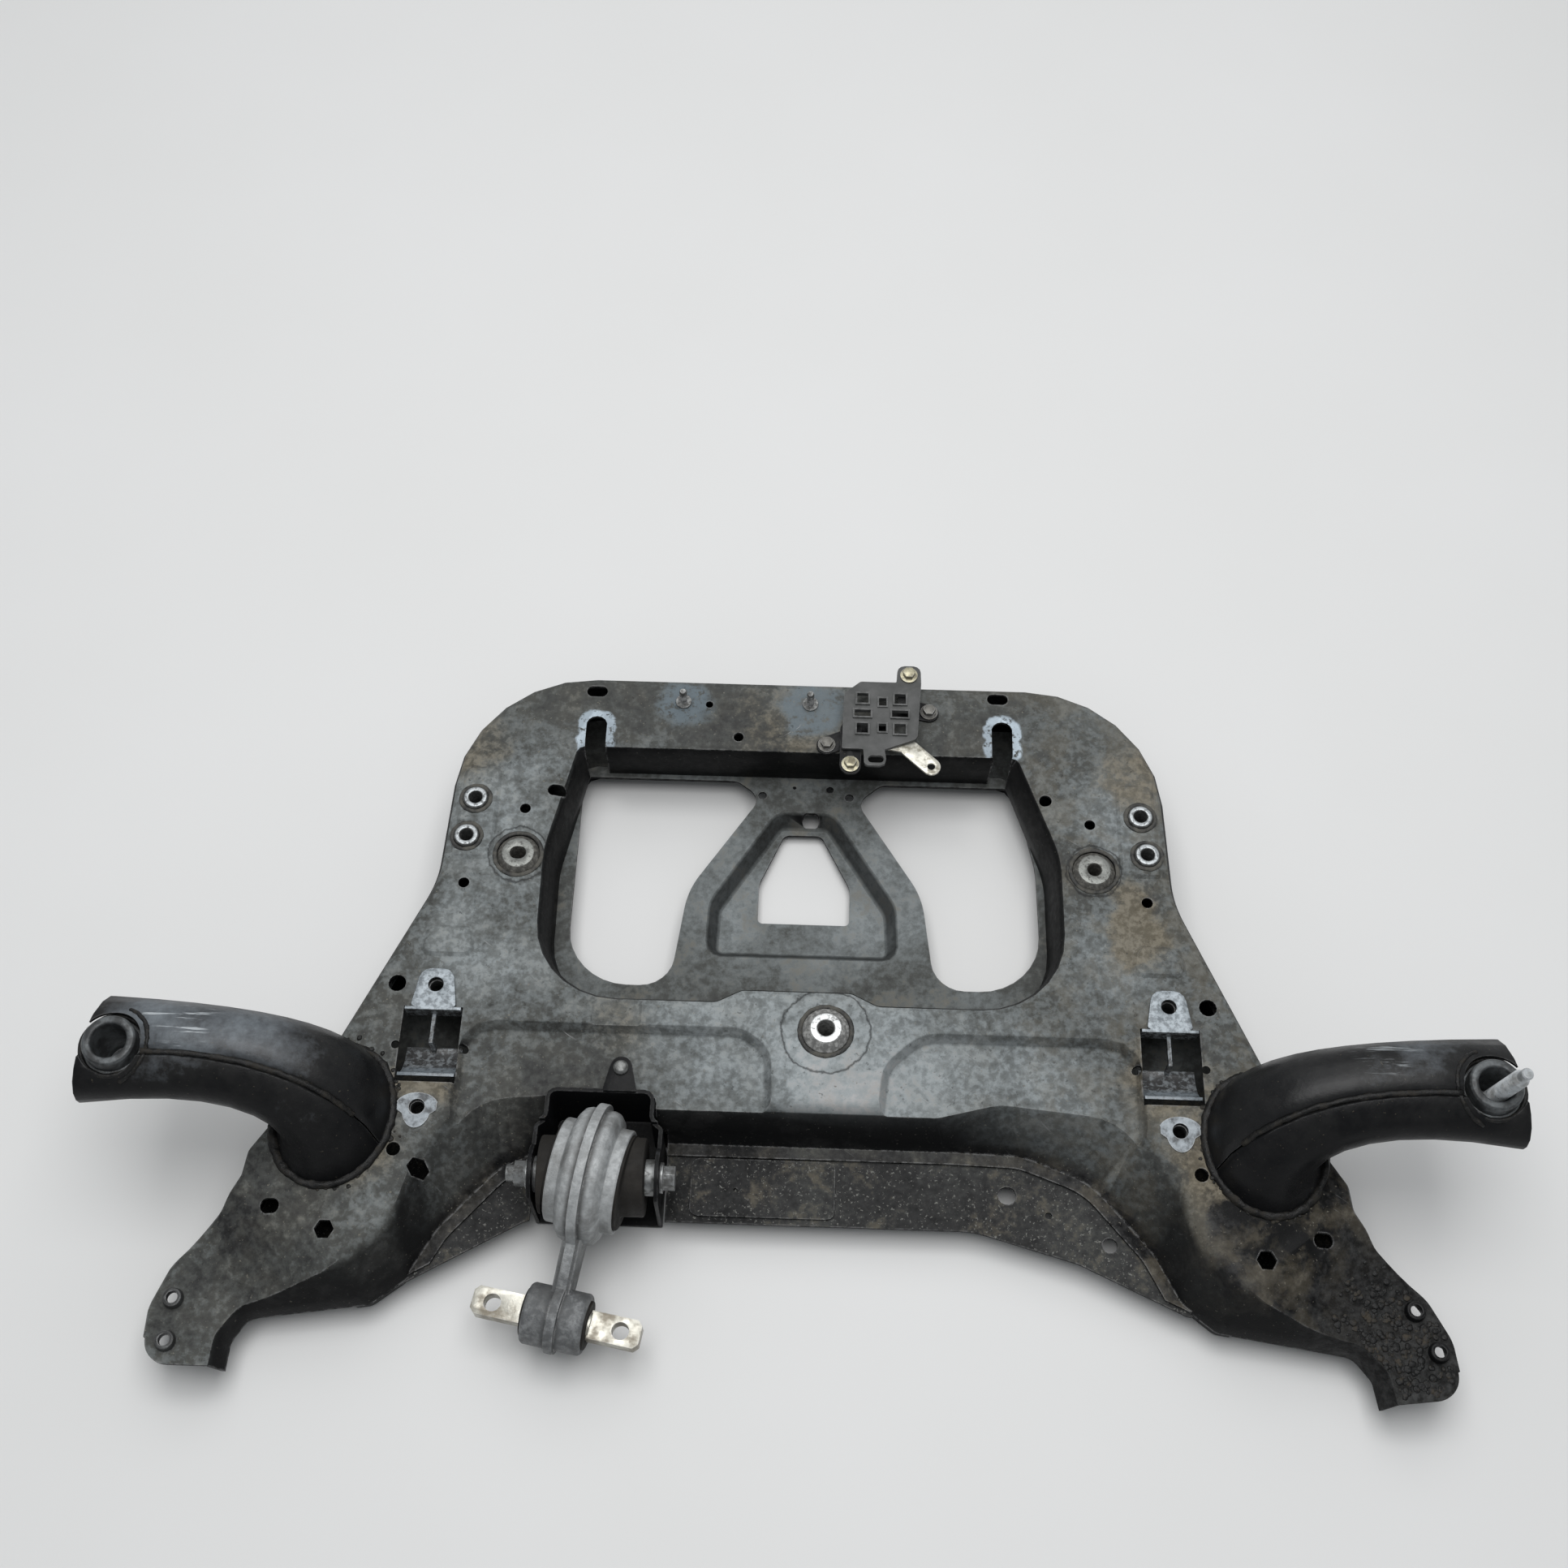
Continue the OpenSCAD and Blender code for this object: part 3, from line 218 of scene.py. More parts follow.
def mask_group(name, **inputs):
    """A node group that puts out one mask. An input without a start value is a vector."""
    tree = bpy.data.node_groups.new(name, "ShaderNodeTree")
    for label, default in inputs.items():
        kind = "NodeSocketVector" if default is None else "NodeSocketFloat"
        socket = tree.interface.new_socket(name=label, in_out="INPUT", socket_type=kind)
        if default is not None:
            socket.default_value = default
    tree.interface.new_socket(name="Mask", in_out="OUTPUT", socket_type="NodeSocketFloat")
    nodes = Nodes(tree)
    entry = nodes.add("NodeGroupInput").outputs
    leave = nodes.add("NodeGroupOutput").inputs["Mask"]
    return tree, nodes, entry, leave


def blotch_group(name):
    """Cloudy patches between clean and dirty."""
    tree, nodes, entry, leave = mask_group(name, Vector=None, Scale=10.0, Level=0.5, Blur=0.08)
    cloud = nodes.noise(entry["Vector"], entry["Scale"], 6.0, 0.62)
    nodes.feed(leave, nodes.blurred(cloud, entry["Level"], entry["Blur"]))
    return tree


def spot_group(name):
    """One round spot that fades over its blur."""
    tree, nodes, entry, leave = mask_group(name, Vector=None, Centre=None, Radius=0.02, Blur=0.003)
    gap = nodes.vector("DISTANCE", entry["Vector"], entry["Centre"])["Value"]
    nodes.feed(leave, nodes.blurred(gap, entry["Radius"], entry["Blur"], 1.0, 0.0))
    return tree


def ring_group(name):
    """A thin round line, as a tide mark leaves."""
    tree, nodes, entry, leave = mask_group(name, Vector=None, Centre=None, Radius=0.02, Width=0.001)
    gap = nodes.vector("DISTANCE", entry["Vector"], entry["Centre"])["Value"]
    off = nodes.math("ABSOLUTE", nodes.math("SUBTRACT", gap, entry["Radius"]))
    nodes.feed(leave, nodes.ramp(off, 0.0, entry["Width"], 1.0, 0.0))
    return tree


def edge_group(name):
    """Worn edges with painted edge highlights: where the rounded normal leaves the true one, broken up by
    noise.
    """
    tree, nodes, entry, leave = mask_group(name, Vector=None, Width=0.0015, Scale=160.0)
    rounded = nodes.add("ShaderNodeBevel", {"samples": 4}, Radius=entry["Width"]).outputs["Normal"]
    flat = nodes.add("ShaderNodeNewGeometry").outputs["Normal"]
    bent = nodes.ramp(nodes.vector("DOT_PRODUCT", rounded, flat)["Value"], 0.985, 0.90)
    broken = nodes.ramp(nodes.noise(entry["Vector"], entry["Scale"], 5.0, 0.7), 0.42, 0.58)
    nodes.feed(leave, nodes.times(bent, broken))
    return tree


def upward_group(name):
    """Faces that look up, where dust settles and painted sheen lies."""
    tree, nodes, entry, leave = mask_group(name, Low=0.45, High=0.95)
    normal = nodes.add("ShaderNodeTexCoord").outputs["Normal"]
    nodes.feed(leave, nodes.ramp(nodes.split(normal)["Z"], entry["Low"], entry["High"]))
    return tree


def scratch_group(name):
    """Thin straight scratches that come and go."""
    tree, nodes, entry, leave = mask_group(name, Vector=None, Turn=0.4, Amount=0.5)
    turn = nodes.add("ShaderNodeVectorRotate", {"rotation_type": "Z_AXIS"},
                     Vector=entry["Vector"], Angle=entry["Turn"]).outputs["Vector"]
    long = nodes.vector("MULTIPLY", turn, (26.0, 520.0, 60.0))["Vector"]
    lines = nodes.ramp(nodes.noise(long, 1.0, 2.0, 0.4), 0.71, 0.76)
    where = nodes.ramp(nodes.noise(entry["Vector"], 16.0, 3.0), 0.53, 0.63)
    nodes.feed(leave, nodes.times(nodes.times(lines, where), entry["Amount"]))
    return tree


def masked(nodes, name, make, **inputs):
    """The mask of a shared node group, which is built at its first use."""
    tree = bpy.data.node_groups.get(name) or make(name)
    return nodes.add("ShaderNodeGroup", {"node_tree": tree}, **inputs).outputs["Mask"]


def blotches(nodes, vector, scale, level, blur):
    return masked(nodes, "Cloudy Patches", blotch_group,
                  Vector=vector, Scale=scale, Level=level, Blur=blur)


def spot(nodes, vector, centre, radius, blur):
    return masked(nodes, "Soft Spot", spot_group, Vector=vector, Centre=centre, Radius=radius, Blur=blur)


def ring_line(nodes, vector, centre, radius, width):
    return masked(nodes, "Tide Line", ring_group, Vector=vector, Centre=centre, Radius=radius, Width=width)


def edges(nodes, vector, width, scale=160.0):
    return masked(nodes, "Worn And Highlit Edges", edge_group, Vector=vector, Width=width, Scale=scale)


def upward(nodes, low, high):
    return masked(nodes, "Upward Faces", upward_group, Low=low, High=high)


def scratches(nodes, vector, turn, amount):
    return masked(nodes, "Scratches", scratch_group, Vector=vector, Turn=turn, Amount=amount)


def areas(nodes, vector, rows, softness=0.55):
    """Adds up soft spots, each with its own weight."""
    return nodes.weigh([(spot(nodes, vector, at, size, size * softness), weight)
                        for at, size, weight in rows])


def start_material(name, shine=0.5):
    """A new material, its node tree, its shader's inputs and the Object coordinates."""
    material = bpy.data.materials.new(name)
    material.use_nodes = True
    nodes = Nodes(material.node_tree)
    shader = material.node_tree.nodes["Principled BSDF"].inputs
    shader["Specular IOR Level"].default_value = shine
    return material, nodes, shader, nodes.add("ShaderNodeTexCoord").outputs["Object"]


def set_finish(nodes, shader, colour, rough, metal=0.0):
    for name, value in (("Base Color", colour), ("Roughness", rough), ("Metallic", metal)):
        nodes.feed(shader[name], value)


def bump(nodes, shader, height, strength, distance):
    node = nodes.add("ShaderNodeBump", Strength=strength, Distance=distance, Height=height)
    nodes.feed(shader["Normal"], node.outputs["Normal"])


def film_palette(nodes, level, dim, pale):
    """Black coat, dust, road film and chalk, from a low level to a high one."""
    tint = colours()
    return nodes.palette(level, [
        (0.02, rgba(tint.coat)), (0.22, grey(dim)), (0.42, rgba(tint.dust)), (0.60, rgba(tint.film)),
        (0.80, rgba(tint.chalk)), (1.0, grey(pale))])


# Where the road film lies thicker or thinner, as point, radius and weight, in metres
FILM_AREAS = [((0.045, -0.045, 0.068), 0.06, 0.20), ((-0.05, -0.028, 0.068), 0.055, 0.20),
              ((0.02, -0.085, 0.06), 0.05, 0.16), ((0.135, -0.065, 0.06), 0.06, 0.13),
              ((0.19, -0.06, 0.062), 0.04, 0.08), ((-0.235, 0.05, 0.068), 0.045, 0.10),
              ((-0.24, -0.005, 0.068), 0.03, 0.12), ((-0.245, 0.145, 0.068), 0.045, 0.13),
              ((-0.22, 0.20, 0.068), 0.03, 0.08), ((0.225, 0.03, 0.068), 0.045, 0.08),
              ((0.235, 0.16, 0.068), 0.045, 0.11), ((-0.415, -0.215, 0.04), 0.05, -0.09),
              ((-0.103, 0.25, 0.068), 0.022, 0.12), ((0.0, 0.25, 0.068), 0.028, 0.14),
              ((-0.18, -0.085, 0.06), 0.045, -0.10), ((-0.36, -0.17, 0.055), 0.045, -0.12),
              ((0.37, -0.17, 0.055), 0.075, -0.30), ((-0.31, -0.12, 0.068), 0.03, -0.10),
              ((0.31, -0.12, 0.068), 0.035, -0.12), ((0.335, -0.165, 0.062), 0.05, -0.16),
              ((-0.10, 0.265, 0.068), 0.05, -0.07), ((0.12, 0.25, 0.068), 0.07, -0.08),
              ((-0.05, 0.225, 0.068), 0.05, -0.08), ((-0.19, 0.25, 0.068), 0.05, -0.05)]
# Where mud dried on, as point, radius and weight
MUD_AREAS = [((-0.275, -0.075, 0.068), 0.026, 0.55), ((0.27, -0.06, 0.068), 0.03, 0.6),
             ((0.252, 0.05, 0.068), 0.024, 0.75), ((0.25, 0.085, 0.068), 0.018, 0.6),
             ((0.30, -0.12, 0.066), 0.03, 0.55), ((-0.32, -0.13, 0.066), 0.028, 0.5),
             ((0.262, 0.19, 0.068), 0.03, 0.45), ((-0.137, -0.03, 0.068), 0.024, 0.25),
             ((0.0, 0.235, 0.068), 0.05, 0.3), ((-0.27, 0.205, 0.068), 0.03, 0.4)]
# Seats that bolted parts have rubbed pale, as point and radius
BARE_SEATS = [((-0.172, 0.2265, 0.068), 0.0155), ((-0.172, 0.212, 0.068), 0.0155),
              ((0.155, 0.2315, 0.068), 0.0155), ((0.155, 0.216, 0.068), 0.0155)]
# Blue grey stains round the rear studs, as point and radius
STUD_STAINS = [((-0.103, 0.249, 0.068), 0.021), ((0.002, 0.249, 0.068), 0.026)]
# Rings that dried water left round the collars, as point and radius
TIDE_LINES = [((0.019, -0.031, 0.068), 0.033), ((-0.2235, 0.1085, 0.068), 0.0235),
              ((0.2235, 0.1085, 0.068), 0.0215)]
# Where the top panel is scratched most, as point, radius and weight
SCUFFED = [((-0.06, 0.236, 0.068), 0.03, 1.0), ((0.0, 0.235, 0.068), 0.03, 1.0),
           ((-0.1, 0.24, 0.068), 0.025, 1.0), ((-0.24, 0.0, 0.068), 0.03, 0.6),
           ((-0.05, -0.03, 0.068), 0.04, 0.6)]
# The grease on the right ear, as point, radius and blur
EAR_GREASE = [((0.44, -0.228, 0.045), 0.075, 0.03), ((0.412, -0.255, 0.03), 0.05, 0.03)]
PALE_EARTH = (0.21, 0.185, 0.14, 1.0)
STUD_BLUE = (0.14, 0.175, 0.20, 1.0)
SAND_SPECK = (0.24, 0.225, 0.185, 1.0)
RUBBED_SEAT = (0.36, 0.42, 0.47, 1.0)


def shell_coat():
    """Black dip coat under road dust, grey film partly lifted as painted sheen, olive mud, tide marks and
    rubbed seats.
    """
    tint = colours()
    material, nodes, shader, place = start_material("shell_coat", 0.08)
    loose = nodes.warp(place, 34.0, 0.03)
    ragged = nodes.warp(place, 120.0, 0.007)
    top = upward(nodes, 0.42, 0.985)
    parts = nodes.split(place)
    fleck = nodes.noise(place, 170.0, 5.0, 0.68)
    patch = nodes.noise(loose, 36.0, 5.0, 0.62)
    cloud = nodes.noise(loose, 14.0, 3.0, 0.5)
    flake = nodes.ramp(nodes.noise(ragged, 170.0, 4.0, 0.62), 0.47, 0.54)
    uneven = nodes.weigh([(cloud, 0.5), (patch, 0.4), (fleck, 0.5), (flake, 0.05)], -0.725)
    calm = nodes.ramp(parts["Y"], 0.19, 0.235, 1.0, 0.7)
    flange = nodes.ramp(parts["Z"], 0.027, 0.034, 1.0, 0.0)
    # The level starts high enough to paint in part of the sheen that the low shine leaves out
    level = nodes.weigh([(areas(nodes, loose, FILM_AREAS), 1.0), (uneven, calm), (flange, -0.34)], 0.48)
    film = film_palette(nodes, level, 0.036, 0.44)
    warm = nodes.times(nodes.ramp(parts["X"], 0.08, 0.24, 0.10, 0.42), nodes.ramp(patch, 0.40, 0.60))
    film = nodes.mix(warm, film, rgba(tint.mud))
    mud = nodes.weigh([(areas(nodes, loose, MUD_AREAS), 1.0), (patch, 0.9), (fleck, 0.9)], -0.85)
    mud = nodes.ramp(mud, 0.1, 0.7)
    earth = nodes.mix(nodes.ramp(fleck, 0.40, 0.62), rgba(tint.mud), PALE_EARTH)
    film = nodes.mix(nodes.times(mud, 0.85), film, earth)
    tide = nodes.largest([ring_line(nodes, ragged, at, size, 0.0016) for at, size in TIDE_LINES])
    film = nodes.mix(nodes.times(tide, 0.75), film, grey(0.022))
    stain = nodes.largest([spot(nodes, loose, at, size, 0.006) for at, size in STUD_STAINS])
    stain = nodes.times(stain, nodes.ramp(fleck, 0.36, 0.50))
    film = nodes.mix(nodes.times(stain, 0.75), film, STUD_BLUE)
    scuffed = nodes.times(scratches(nodes, loose, -0.7, 0.9), areas(nodes, place, SCUFFED))
    scored = nodes.largest([scratches(nodes, place, 0.6, 0.5), scuffed])
    film = nodes.mix(scored, film, grey(0.40))
    wall = nodes.mix(nodes.ramp(patch, 0.48, 0.68, 0.0, 0.5), rgba(tint.coat), grey(0.026))
    colour = nodes.mix(top, wall, film)
    pits = nodes.ramp(nodes.noise(place, 240.0, 3.0, 0.6), 0.64, 0.70, 0.0, 0.45)
    colour = nodes.mix(pits, colour, grey(0.02))
    specks = nodes.ramp(nodes.noise(place, 480.0, 2.0), 0.68, 0.73, 0.0, 0.55)
    specks = nodes.times(specks, nodes.ramp(top, 0.0, 1.0, 0.35, 1.0))
    colour = nodes.mix(specks, colour, SAND_SPECK)
    # Edges painted pale, as wear and as painted highlight
    wear_and_highlight = edges(nodes, place, 0.0022)
    colour = nodes.mix(nodes.times(wear_and_highlight, 0.6), colour, grey(0.30))
    bare = nodes.largest([spot(nodes, ragged, at, size, 0.0012) for at, size in BARE_SEATS])
    bare = nodes.times(nodes.times(bare, top), nodes.ramp(fleck, 0.36, 0.48))
    colour = nodes.mix(nodes.times(bare, 0.9), colour, RUBBED_SEAT)
    greasy = nodes.largest([spot(nodes, loose, at, size, blur) for at, size, blur in EAR_GREASE])
    grease = nodes.palette(fleck, [(0.40, grey(0.010)), (0.72, grey(0.05))])
    colour = nodes.mix(nodes.times(greasy, 0.93), colour, grease)
    rough = nodes.weigh([(bare, -0.12)], nodes.ramp(level, 0.1, 0.7, 0.36, 0.62))
    set_finish(nodes, shader, colour, rough, nodes.times(bare, 0.35))
    grain = nodes.noise(place, 900.0, 3.0, 0.7)
    caked = nodes.times(nodes.largest([greasy, nodes.times(mud, 0.4)]), fleck)
    bump(nodes, shader, nodes.weigh([(grain, 0.10), (caked, 0.8)]), 0.5, 0.003)
    return material


# Where the film lies on the lower shell, as point, radius and weight
TRAY_AREAS = [((-0.075, 0.12, 0.03), 0.06, 0.16), ((0.075, 0.12, 0.03), 0.06, 0.16),
              ((0.0, 0.19, 0.03), 0.05, 0.05), ((0.0, 0.05, 0.03), 0.06, 0.10)]
PALE_GRIT = (0.20, 0.20, 0.185, 1.0)


def tray_coat():
    """Darker coat of the lower shell with film on the web and pale grit on the lip."""
    tint = colours()
    material, nodes, shader, place = start_material("tray_coat", 0.07)
    loose = nodes.warp(place, 30.0, 0.03)
    top = upward(nodes, 0.50, 0.97)
    parts = nodes.split(place)
    fleck = nodes.noise(place, 170.0, 5.0, 0.68)
    patch = nodes.noise(loose, 30.0, 5.0, 0.62)
    cloud = nodes.noise(loose, 12.0, 3.0, 0.5)
    uneven = nodes.weigh([(cloud, 0.5), (patch, 0.45), (fleck, 0.5)], -0.725)
    rear = nodes.ramp(parts["Y"], -0.10, 0.0, 0.22, 0.45)
    level = nodes.weigh([(areas(nodes, loose, TRAY_AREAS), 1.0), (uneven, 1.0)], rear)
    film = film_palette(nodes, level, 0.032, 0.42)
    earth = nodes.ramp(nodes.weigh([(patch, 1.0), (fleck, 0.6)]), 0.82, 1.02, 0.0, 0.55)
    film = nodes.mix(earth, film, rgba(tint.mud))
    grit = nodes.ramp(nodes.noise(place, 430.0, 3.0, 0.7), 0.60, 0.66)
    front = nodes.ramp(parts["Y"], -0.12, -0.10, 0.85, 0.15)
    film = nodes.mix(nodes.times(grit, front), film, PALE_GRIT)
    wall = nodes.mix(nodes.ramp(patch, 0.50, 0.66, 0.0, 0.4), rgba(tint.coat), grey(0.02))
    colour = nodes.mix(top, wall, film)
    # Edges painted pale, as wear and as painted highlight
    wear_and_highlight = edges(nodes, place, 0.0018)
    colour = nodes.mix(nodes.times(wear_and_highlight, 0.5), colour, grey(0.28))
    set_finish(nodes, shader, colour, nodes.ramp(level, 0.1, 0.7, 0.40, 0.64))
    height = nodes.weigh([(nodes.noise(place, 700.0, 3.0, 0.7), 0.12), (grit, 0.2)])
    bump(nodes, shader, height, 0.3, 0.0015)
    return material


# Painted sheen with dust, and scuffs, on the horns, as point, radius and weight
HORN_AREAS = [((-0.415, -0.062, 0.145), 0.05, 0.36), ((-0.36, -0.075, 0.14), 0.035, 0.2),
              ((-0.46, -0.055, 0.15), 0.03, 0.2), ((0.405, -0.062, 0.148), 0.03, 0.16),
              ((0.44, -0.055, 0.15), 0.024, 0.22)]
HORN_SCUFFS = [((-0.427, -0.068, 0.149), 0.019, 1.0), ((-0.450, -0.064, 0.149), 0.008, 1.0),
               ((0.408, -0.064, 0.148), 0.018, 0.55)]
# Colours of the horns' painted sheen, dim and pale, and of their scuffs
HORN_SHEEN = (0.075, 0.082, 0.090, 1.0)
HORN_PALE = (0.19, 0.215, 0.235, 1.0)
HORN_SCUFF = (0.40, 0.43, 0.45, 1.0)


def horn_coat(name, dust_sheen_and_scuffs, shine):
    """Satin black with dust and a painted blue grey sheen, scratches and rubbed patches."""
    tint = colours()
    material, nodes, shader, place = start_material(name, shine)
    loose = nodes.warp(place, 40.0, 0.022)
    top = upward(nodes, 0.15, 0.92)
    fleck = nodes.noise(place, 150.0, 5.0, 0.66)
    patch = nodes.noise(loose, 26.0, 5.0, 0.6)
    uneven = nodes.weigh([(patch, 1.0), (fleck, 0.55)], -0.775)
    # Dust and painted sheen lie on the upward faces, most in the listed areas
    level = nodes.weigh([(areas(nodes, loose, HORN_AREAS), dust_sheen_and_scuffs), (uneven, 0.75)], 0.12)
    film = nodes.palette(level, [
        (0.0, rgba(tint.horn)), (0.24, grey(0.016)), (0.45, HORN_SHEEN), (0.75, HORN_PALE),
        (1.0, grey(0.36))])
    long = nodes.vector("MULTIPLY", place, (30.0, 360.0, 60.0))["Vector"]
    streaks = nodes.ramp(nodes.noise(long, 1.0, 4.0, 0.6), 0.56, 0.64)
    scuffed = nodes.times(streaks, areas(nodes, loose, HORN_SCUFFS, 0.5))
    film = nodes.mix(nodes.times(scuffed, dust_sheen_and_scuffs), film, HORN_SCUFF)
    colour = nodes.mix(top, rgba(tint.horn), film)
    specks = nodes.ramp(nodes.noise(place, 420.0, 2.0), 0.70, 0.74, 0.0, 0.45)
    colour = nodes.mix(specks, colour, rgba(tint.mud))
    # Edges painted pale, as wear and as painted highlight
    wear_and_highlight = edges(nodes, place, 0.0013)
    colour = nodes.mix(nodes.times(wear_and_highlight, 0.35), colour, grey(0.2))
    set_finish(nodes, shader, colour, nodes.ramp(patch, 0.35, 0.65, 0.28, 0.48))
    height = nodes.weigh([(nodes.noise(place, 320.0, 4.0, 0.6), 0.2), (fleck, 0.3), (patch, 0.5)])
    bump(nodes, shader, height, 0.3, 0.0022)
    return material


def metal_finish(name, colour, dark, rough, scale, level=0.56, metal=0.85, bright=0.6):
    """Worn metal: grime in patches, edges painted bright as wear and as highlight, and a fine brushed
    grain.
    """
    material, nodes, shader, place = start_material(name)
    grime = blotches(nodes, place, scale, level, 0.1)
    wear_and_highlight = edges(nodes, place, 0.0012, 240.0)
    tone = nodes.ramp(nodes.noise(place, 260.0, 4.0, 0.6), 0.35, 0.65, 0.0, 0.45)
    paint = nodes.mix(tone, rgba(colour), rgba([part * 0.55 for part in colour]))
    paint = nodes.mix(nodes.times(grime, 0.8), paint, rgba(dark))
    # Edges painted pale, as wear and as painted highlight
    paint = nodes.mix(nodes.times(wear_and_highlight, bright), paint, grey(0.66))
    uneven = nodes.ramp(nodes.noise(place, 120.0), 0.3, 0.7, rough, rough + 0.2)
    set_finish(nodes, shader, paint, uneven, nodes.ramp(grime, 0.0, 1.0, metal, 0.2))
    bump(nodes, shader, nodes.noise(place, 800.0, 3.0, 0.7), 0.15, 0.0008)
    return material


def collar_finish(name, face, side):
    """A bolt collar: its flat top rubbed bright, its cone still dull."""
    material, nodes, shader, place = start_material(name)
    fleck = nodes.noise(place, 300.0, 5.0, 0.66)
    flat = nodes.times(upward(nodes, 0.86, 0.97), nodes.ramp(fleck, 0.34, 0.50, 0.25, 1.0))
    dull = nodes.mix(nodes.ramp(fleck, 0.42, 0.64), rgba(side), rgba([part * 2.4 for part in side]))
    colour = nodes.mix(flat, dull, rgba(face))
    set_finish(nodes, shader, colour, nodes.ramp(flat, 0.0, 1.0, 0.55, 0.32), nodes.times(flat, 0.75))
    bump(nodes, shader, nodes.noise(place, 700.0, 3.0, 0.7), 0.15, 0.0008)
    return material


# A rack saddle's colours, and where along Y its bolt pad ends and its front slope begins, in metres
SADDLE_PAD = ((0.17, 0.19, 0.205, 1.0), (0.36, 0.40, 0.43, 1.0))
# The trough's tones are kept light enough to paint in part of its reflections, and its front slope takes a
# paler blue grey of painted reflection and scuffs
SADDLE_TROUGH = (grey(0.05), (0.19, 0.205, 0.215, 1.0))
SADDLE_REFLECTION_AND_SCUFF = (0.19, 0.22, 0.245, 1.0)
PAD_END = (-0.030, -0.024)
SLOPE_START = (-0.060, -0.066)


def saddle_finish():
    """A rack saddle: its bolt pad rubbed to pale steel, its trough dark and glossy with some painted
    reflection, its front slope paler with painted reflection and scuffs.
    """
    material, nodes, shader, place = start_material("saddle_finish")
    parts = nodes.split(place)
    fleck = nodes.noise(place, 240.0, 5.0, 0.66)
    pad = nodes.times(nodes.ramp(parts["Y"], *PAD_END), upward(nodes, 0.5, 0.9))
    # Edges painted pale steel, as wear and as painted highlight
    wear_and_highlight = nodes.times(edges(nodes, place, 0.002, 90.0), 0.8)
    pad = nodes.largest([pad, wear_and_highlight, scratches(nodes, place, 1.4, 0.7)])
    pale = nodes.mix(nodes.ramp(fleck, 0.38, 0.60), *SADDLE_PAD)
    dark = nodes.mix(nodes.ramp(fleck, 0.44, 0.62), *SADDLE_TROUGH)
    # The front slope is painted paler blue grey, as reflection and scuffs
    slope = nodes.ramp(parts["Y"], *SLOPE_START)
    scuffed = nodes.times(slope, nodes.ramp(fleck, 0.34, 0.54, 0.35, 0.9))
    colour = nodes.mix(pad, nodes.mix(scuffed, dark, SADDLE_REFLECTION_AND_SCUFF), pale)
    set_finish(nodes, shader, colour, nodes.ramp(pad, 0.0, 1.0, 0.24, 0.45), nodes.times(pad, 0.35))
    bump(nodes, shader, nodes.noise(place, 700.0, 3.0, 0.7), 0.15, 0.0008)
    return material


# The torque rod's side to side direction, and its middle plane's place along it, in metres
ROD_ACROSS = (0.983255, -0.182236)
ROD_MIDDLE = -0.118387
# How far from that plane the painted shade beside the rod's rib begins and ends, in metres
RIB_EDGE = (0.0032, 0.0037)
RIB_FADE = (0.0085, 0.0042)
# The stretch along Y over which the rod darkens toward its small ring, in metres
RING_START = (-0.185, -0.222)
CAST_GRIME = (0.10, 0.097, 0.09, 1.0)
RIB_SHADE = (0.045, 0.043, 0.040, 1.0)
RING_GREY = (0.072, 0.075, 0.078, 1.0)


def cast_finish():
    """Matte cast alloy with a sandy skin, grime in patches, painted shade beside the rib, and a dark small
    ring.
    """
    tint = colours()
    material, nodes, shader, place = start_material("cast_finish", 0.4)
    fleck = nodes.noise(place, 190.0, 5.0, 0.66)
    grime = blotches(nodes, place, 38.0, 0.54, 0.12)
    grime = nodes.times(grime, nodes.ramp(fleck, 0.30, 0.60, 0.45, 1.0))
    wear_and_highlight = edges(nodes, place, 0.002, 90.0)
    dull = rgba([part * 0.72 for part in tint.alloy])
    skin = nodes.mix(nodes.ramp(fleck, 0.36, 0.64), dull, rgba(tint.alloy))
    colour = nodes.mix(nodes.times(grime, 0.72), skin, CAST_GRIME)
    parts = nodes.split(place)
    across = nodes.weigh([(parts["X"], ROD_ACROSS[0]), (parts["Y"], ROD_ACROSS[1])], -ROD_MIDDLE)
    off = nodes.math("ABSOLUTE", across)
    beside = nodes.times(nodes.ramp(off, *RIB_EDGE), nodes.ramp(off, *RIB_FADE))
    beside = nodes.times(beside, nodes.ramp(fleck, 0.30, 0.52, 0.45, 1.0))
    # Painted shade darkens the cast beside the rib's foot
    colour = nodes.mix(nodes.times(beside, 0.8), colour, RIB_SHADE)
    ring = nodes.ramp(parts["Y"], *RING_START)
    ring = nodes.times(ring, nodes.ramp(fleck, 0.36, 0.66, 0.95, 0.65))
    colour = nodes.mix(nodes.times(ring, 0.85), colour, RING_GREY)
    # Edges painted pale, as wear and as painted highlight
    colour = nodes.mix(nodes.times(wear_and_highlight, 0.6), colour, grey(0.60))
    rough = nodes.ramp(nodes.noise(place, 60.0, 5.0), 0.3, 0.7, 0.46, 0.66)
    set_finish(nodes, shader, colour, rough, 0.30)
    bump(nodes, shader, nodes.noise(place, 520.0, 5.0, 0.7), 0.4, 0.0012)
    return material


BROWN_DUST = (0.06, 0.052, 0.042, 1.0)


def rubber_finish():
    """Dull black rubber with brown dust."""
    tint = colours()
    material, nodes, shader, place = start_material("rubber_finish", 0.3)
    dust = nodes.times(blotches(nodes, place, 40.0, 0.5, 0.15), upward(nodes, 0.0, 0.9))
    colour = nodes.mix(nodes.times(dust, 0.2), rgba(tint.rubber), BROWN_DUST)
    set_finish(nodes, shader, colour, nodes.ramp(nodes.noise(place, 90.0), 0.3, 0.7, 0.6, 0.85))
    bump(nodes, shader, nodes.noise(place, 500.0, 4.0, 0.6), 0.25, 0.001)
    return material


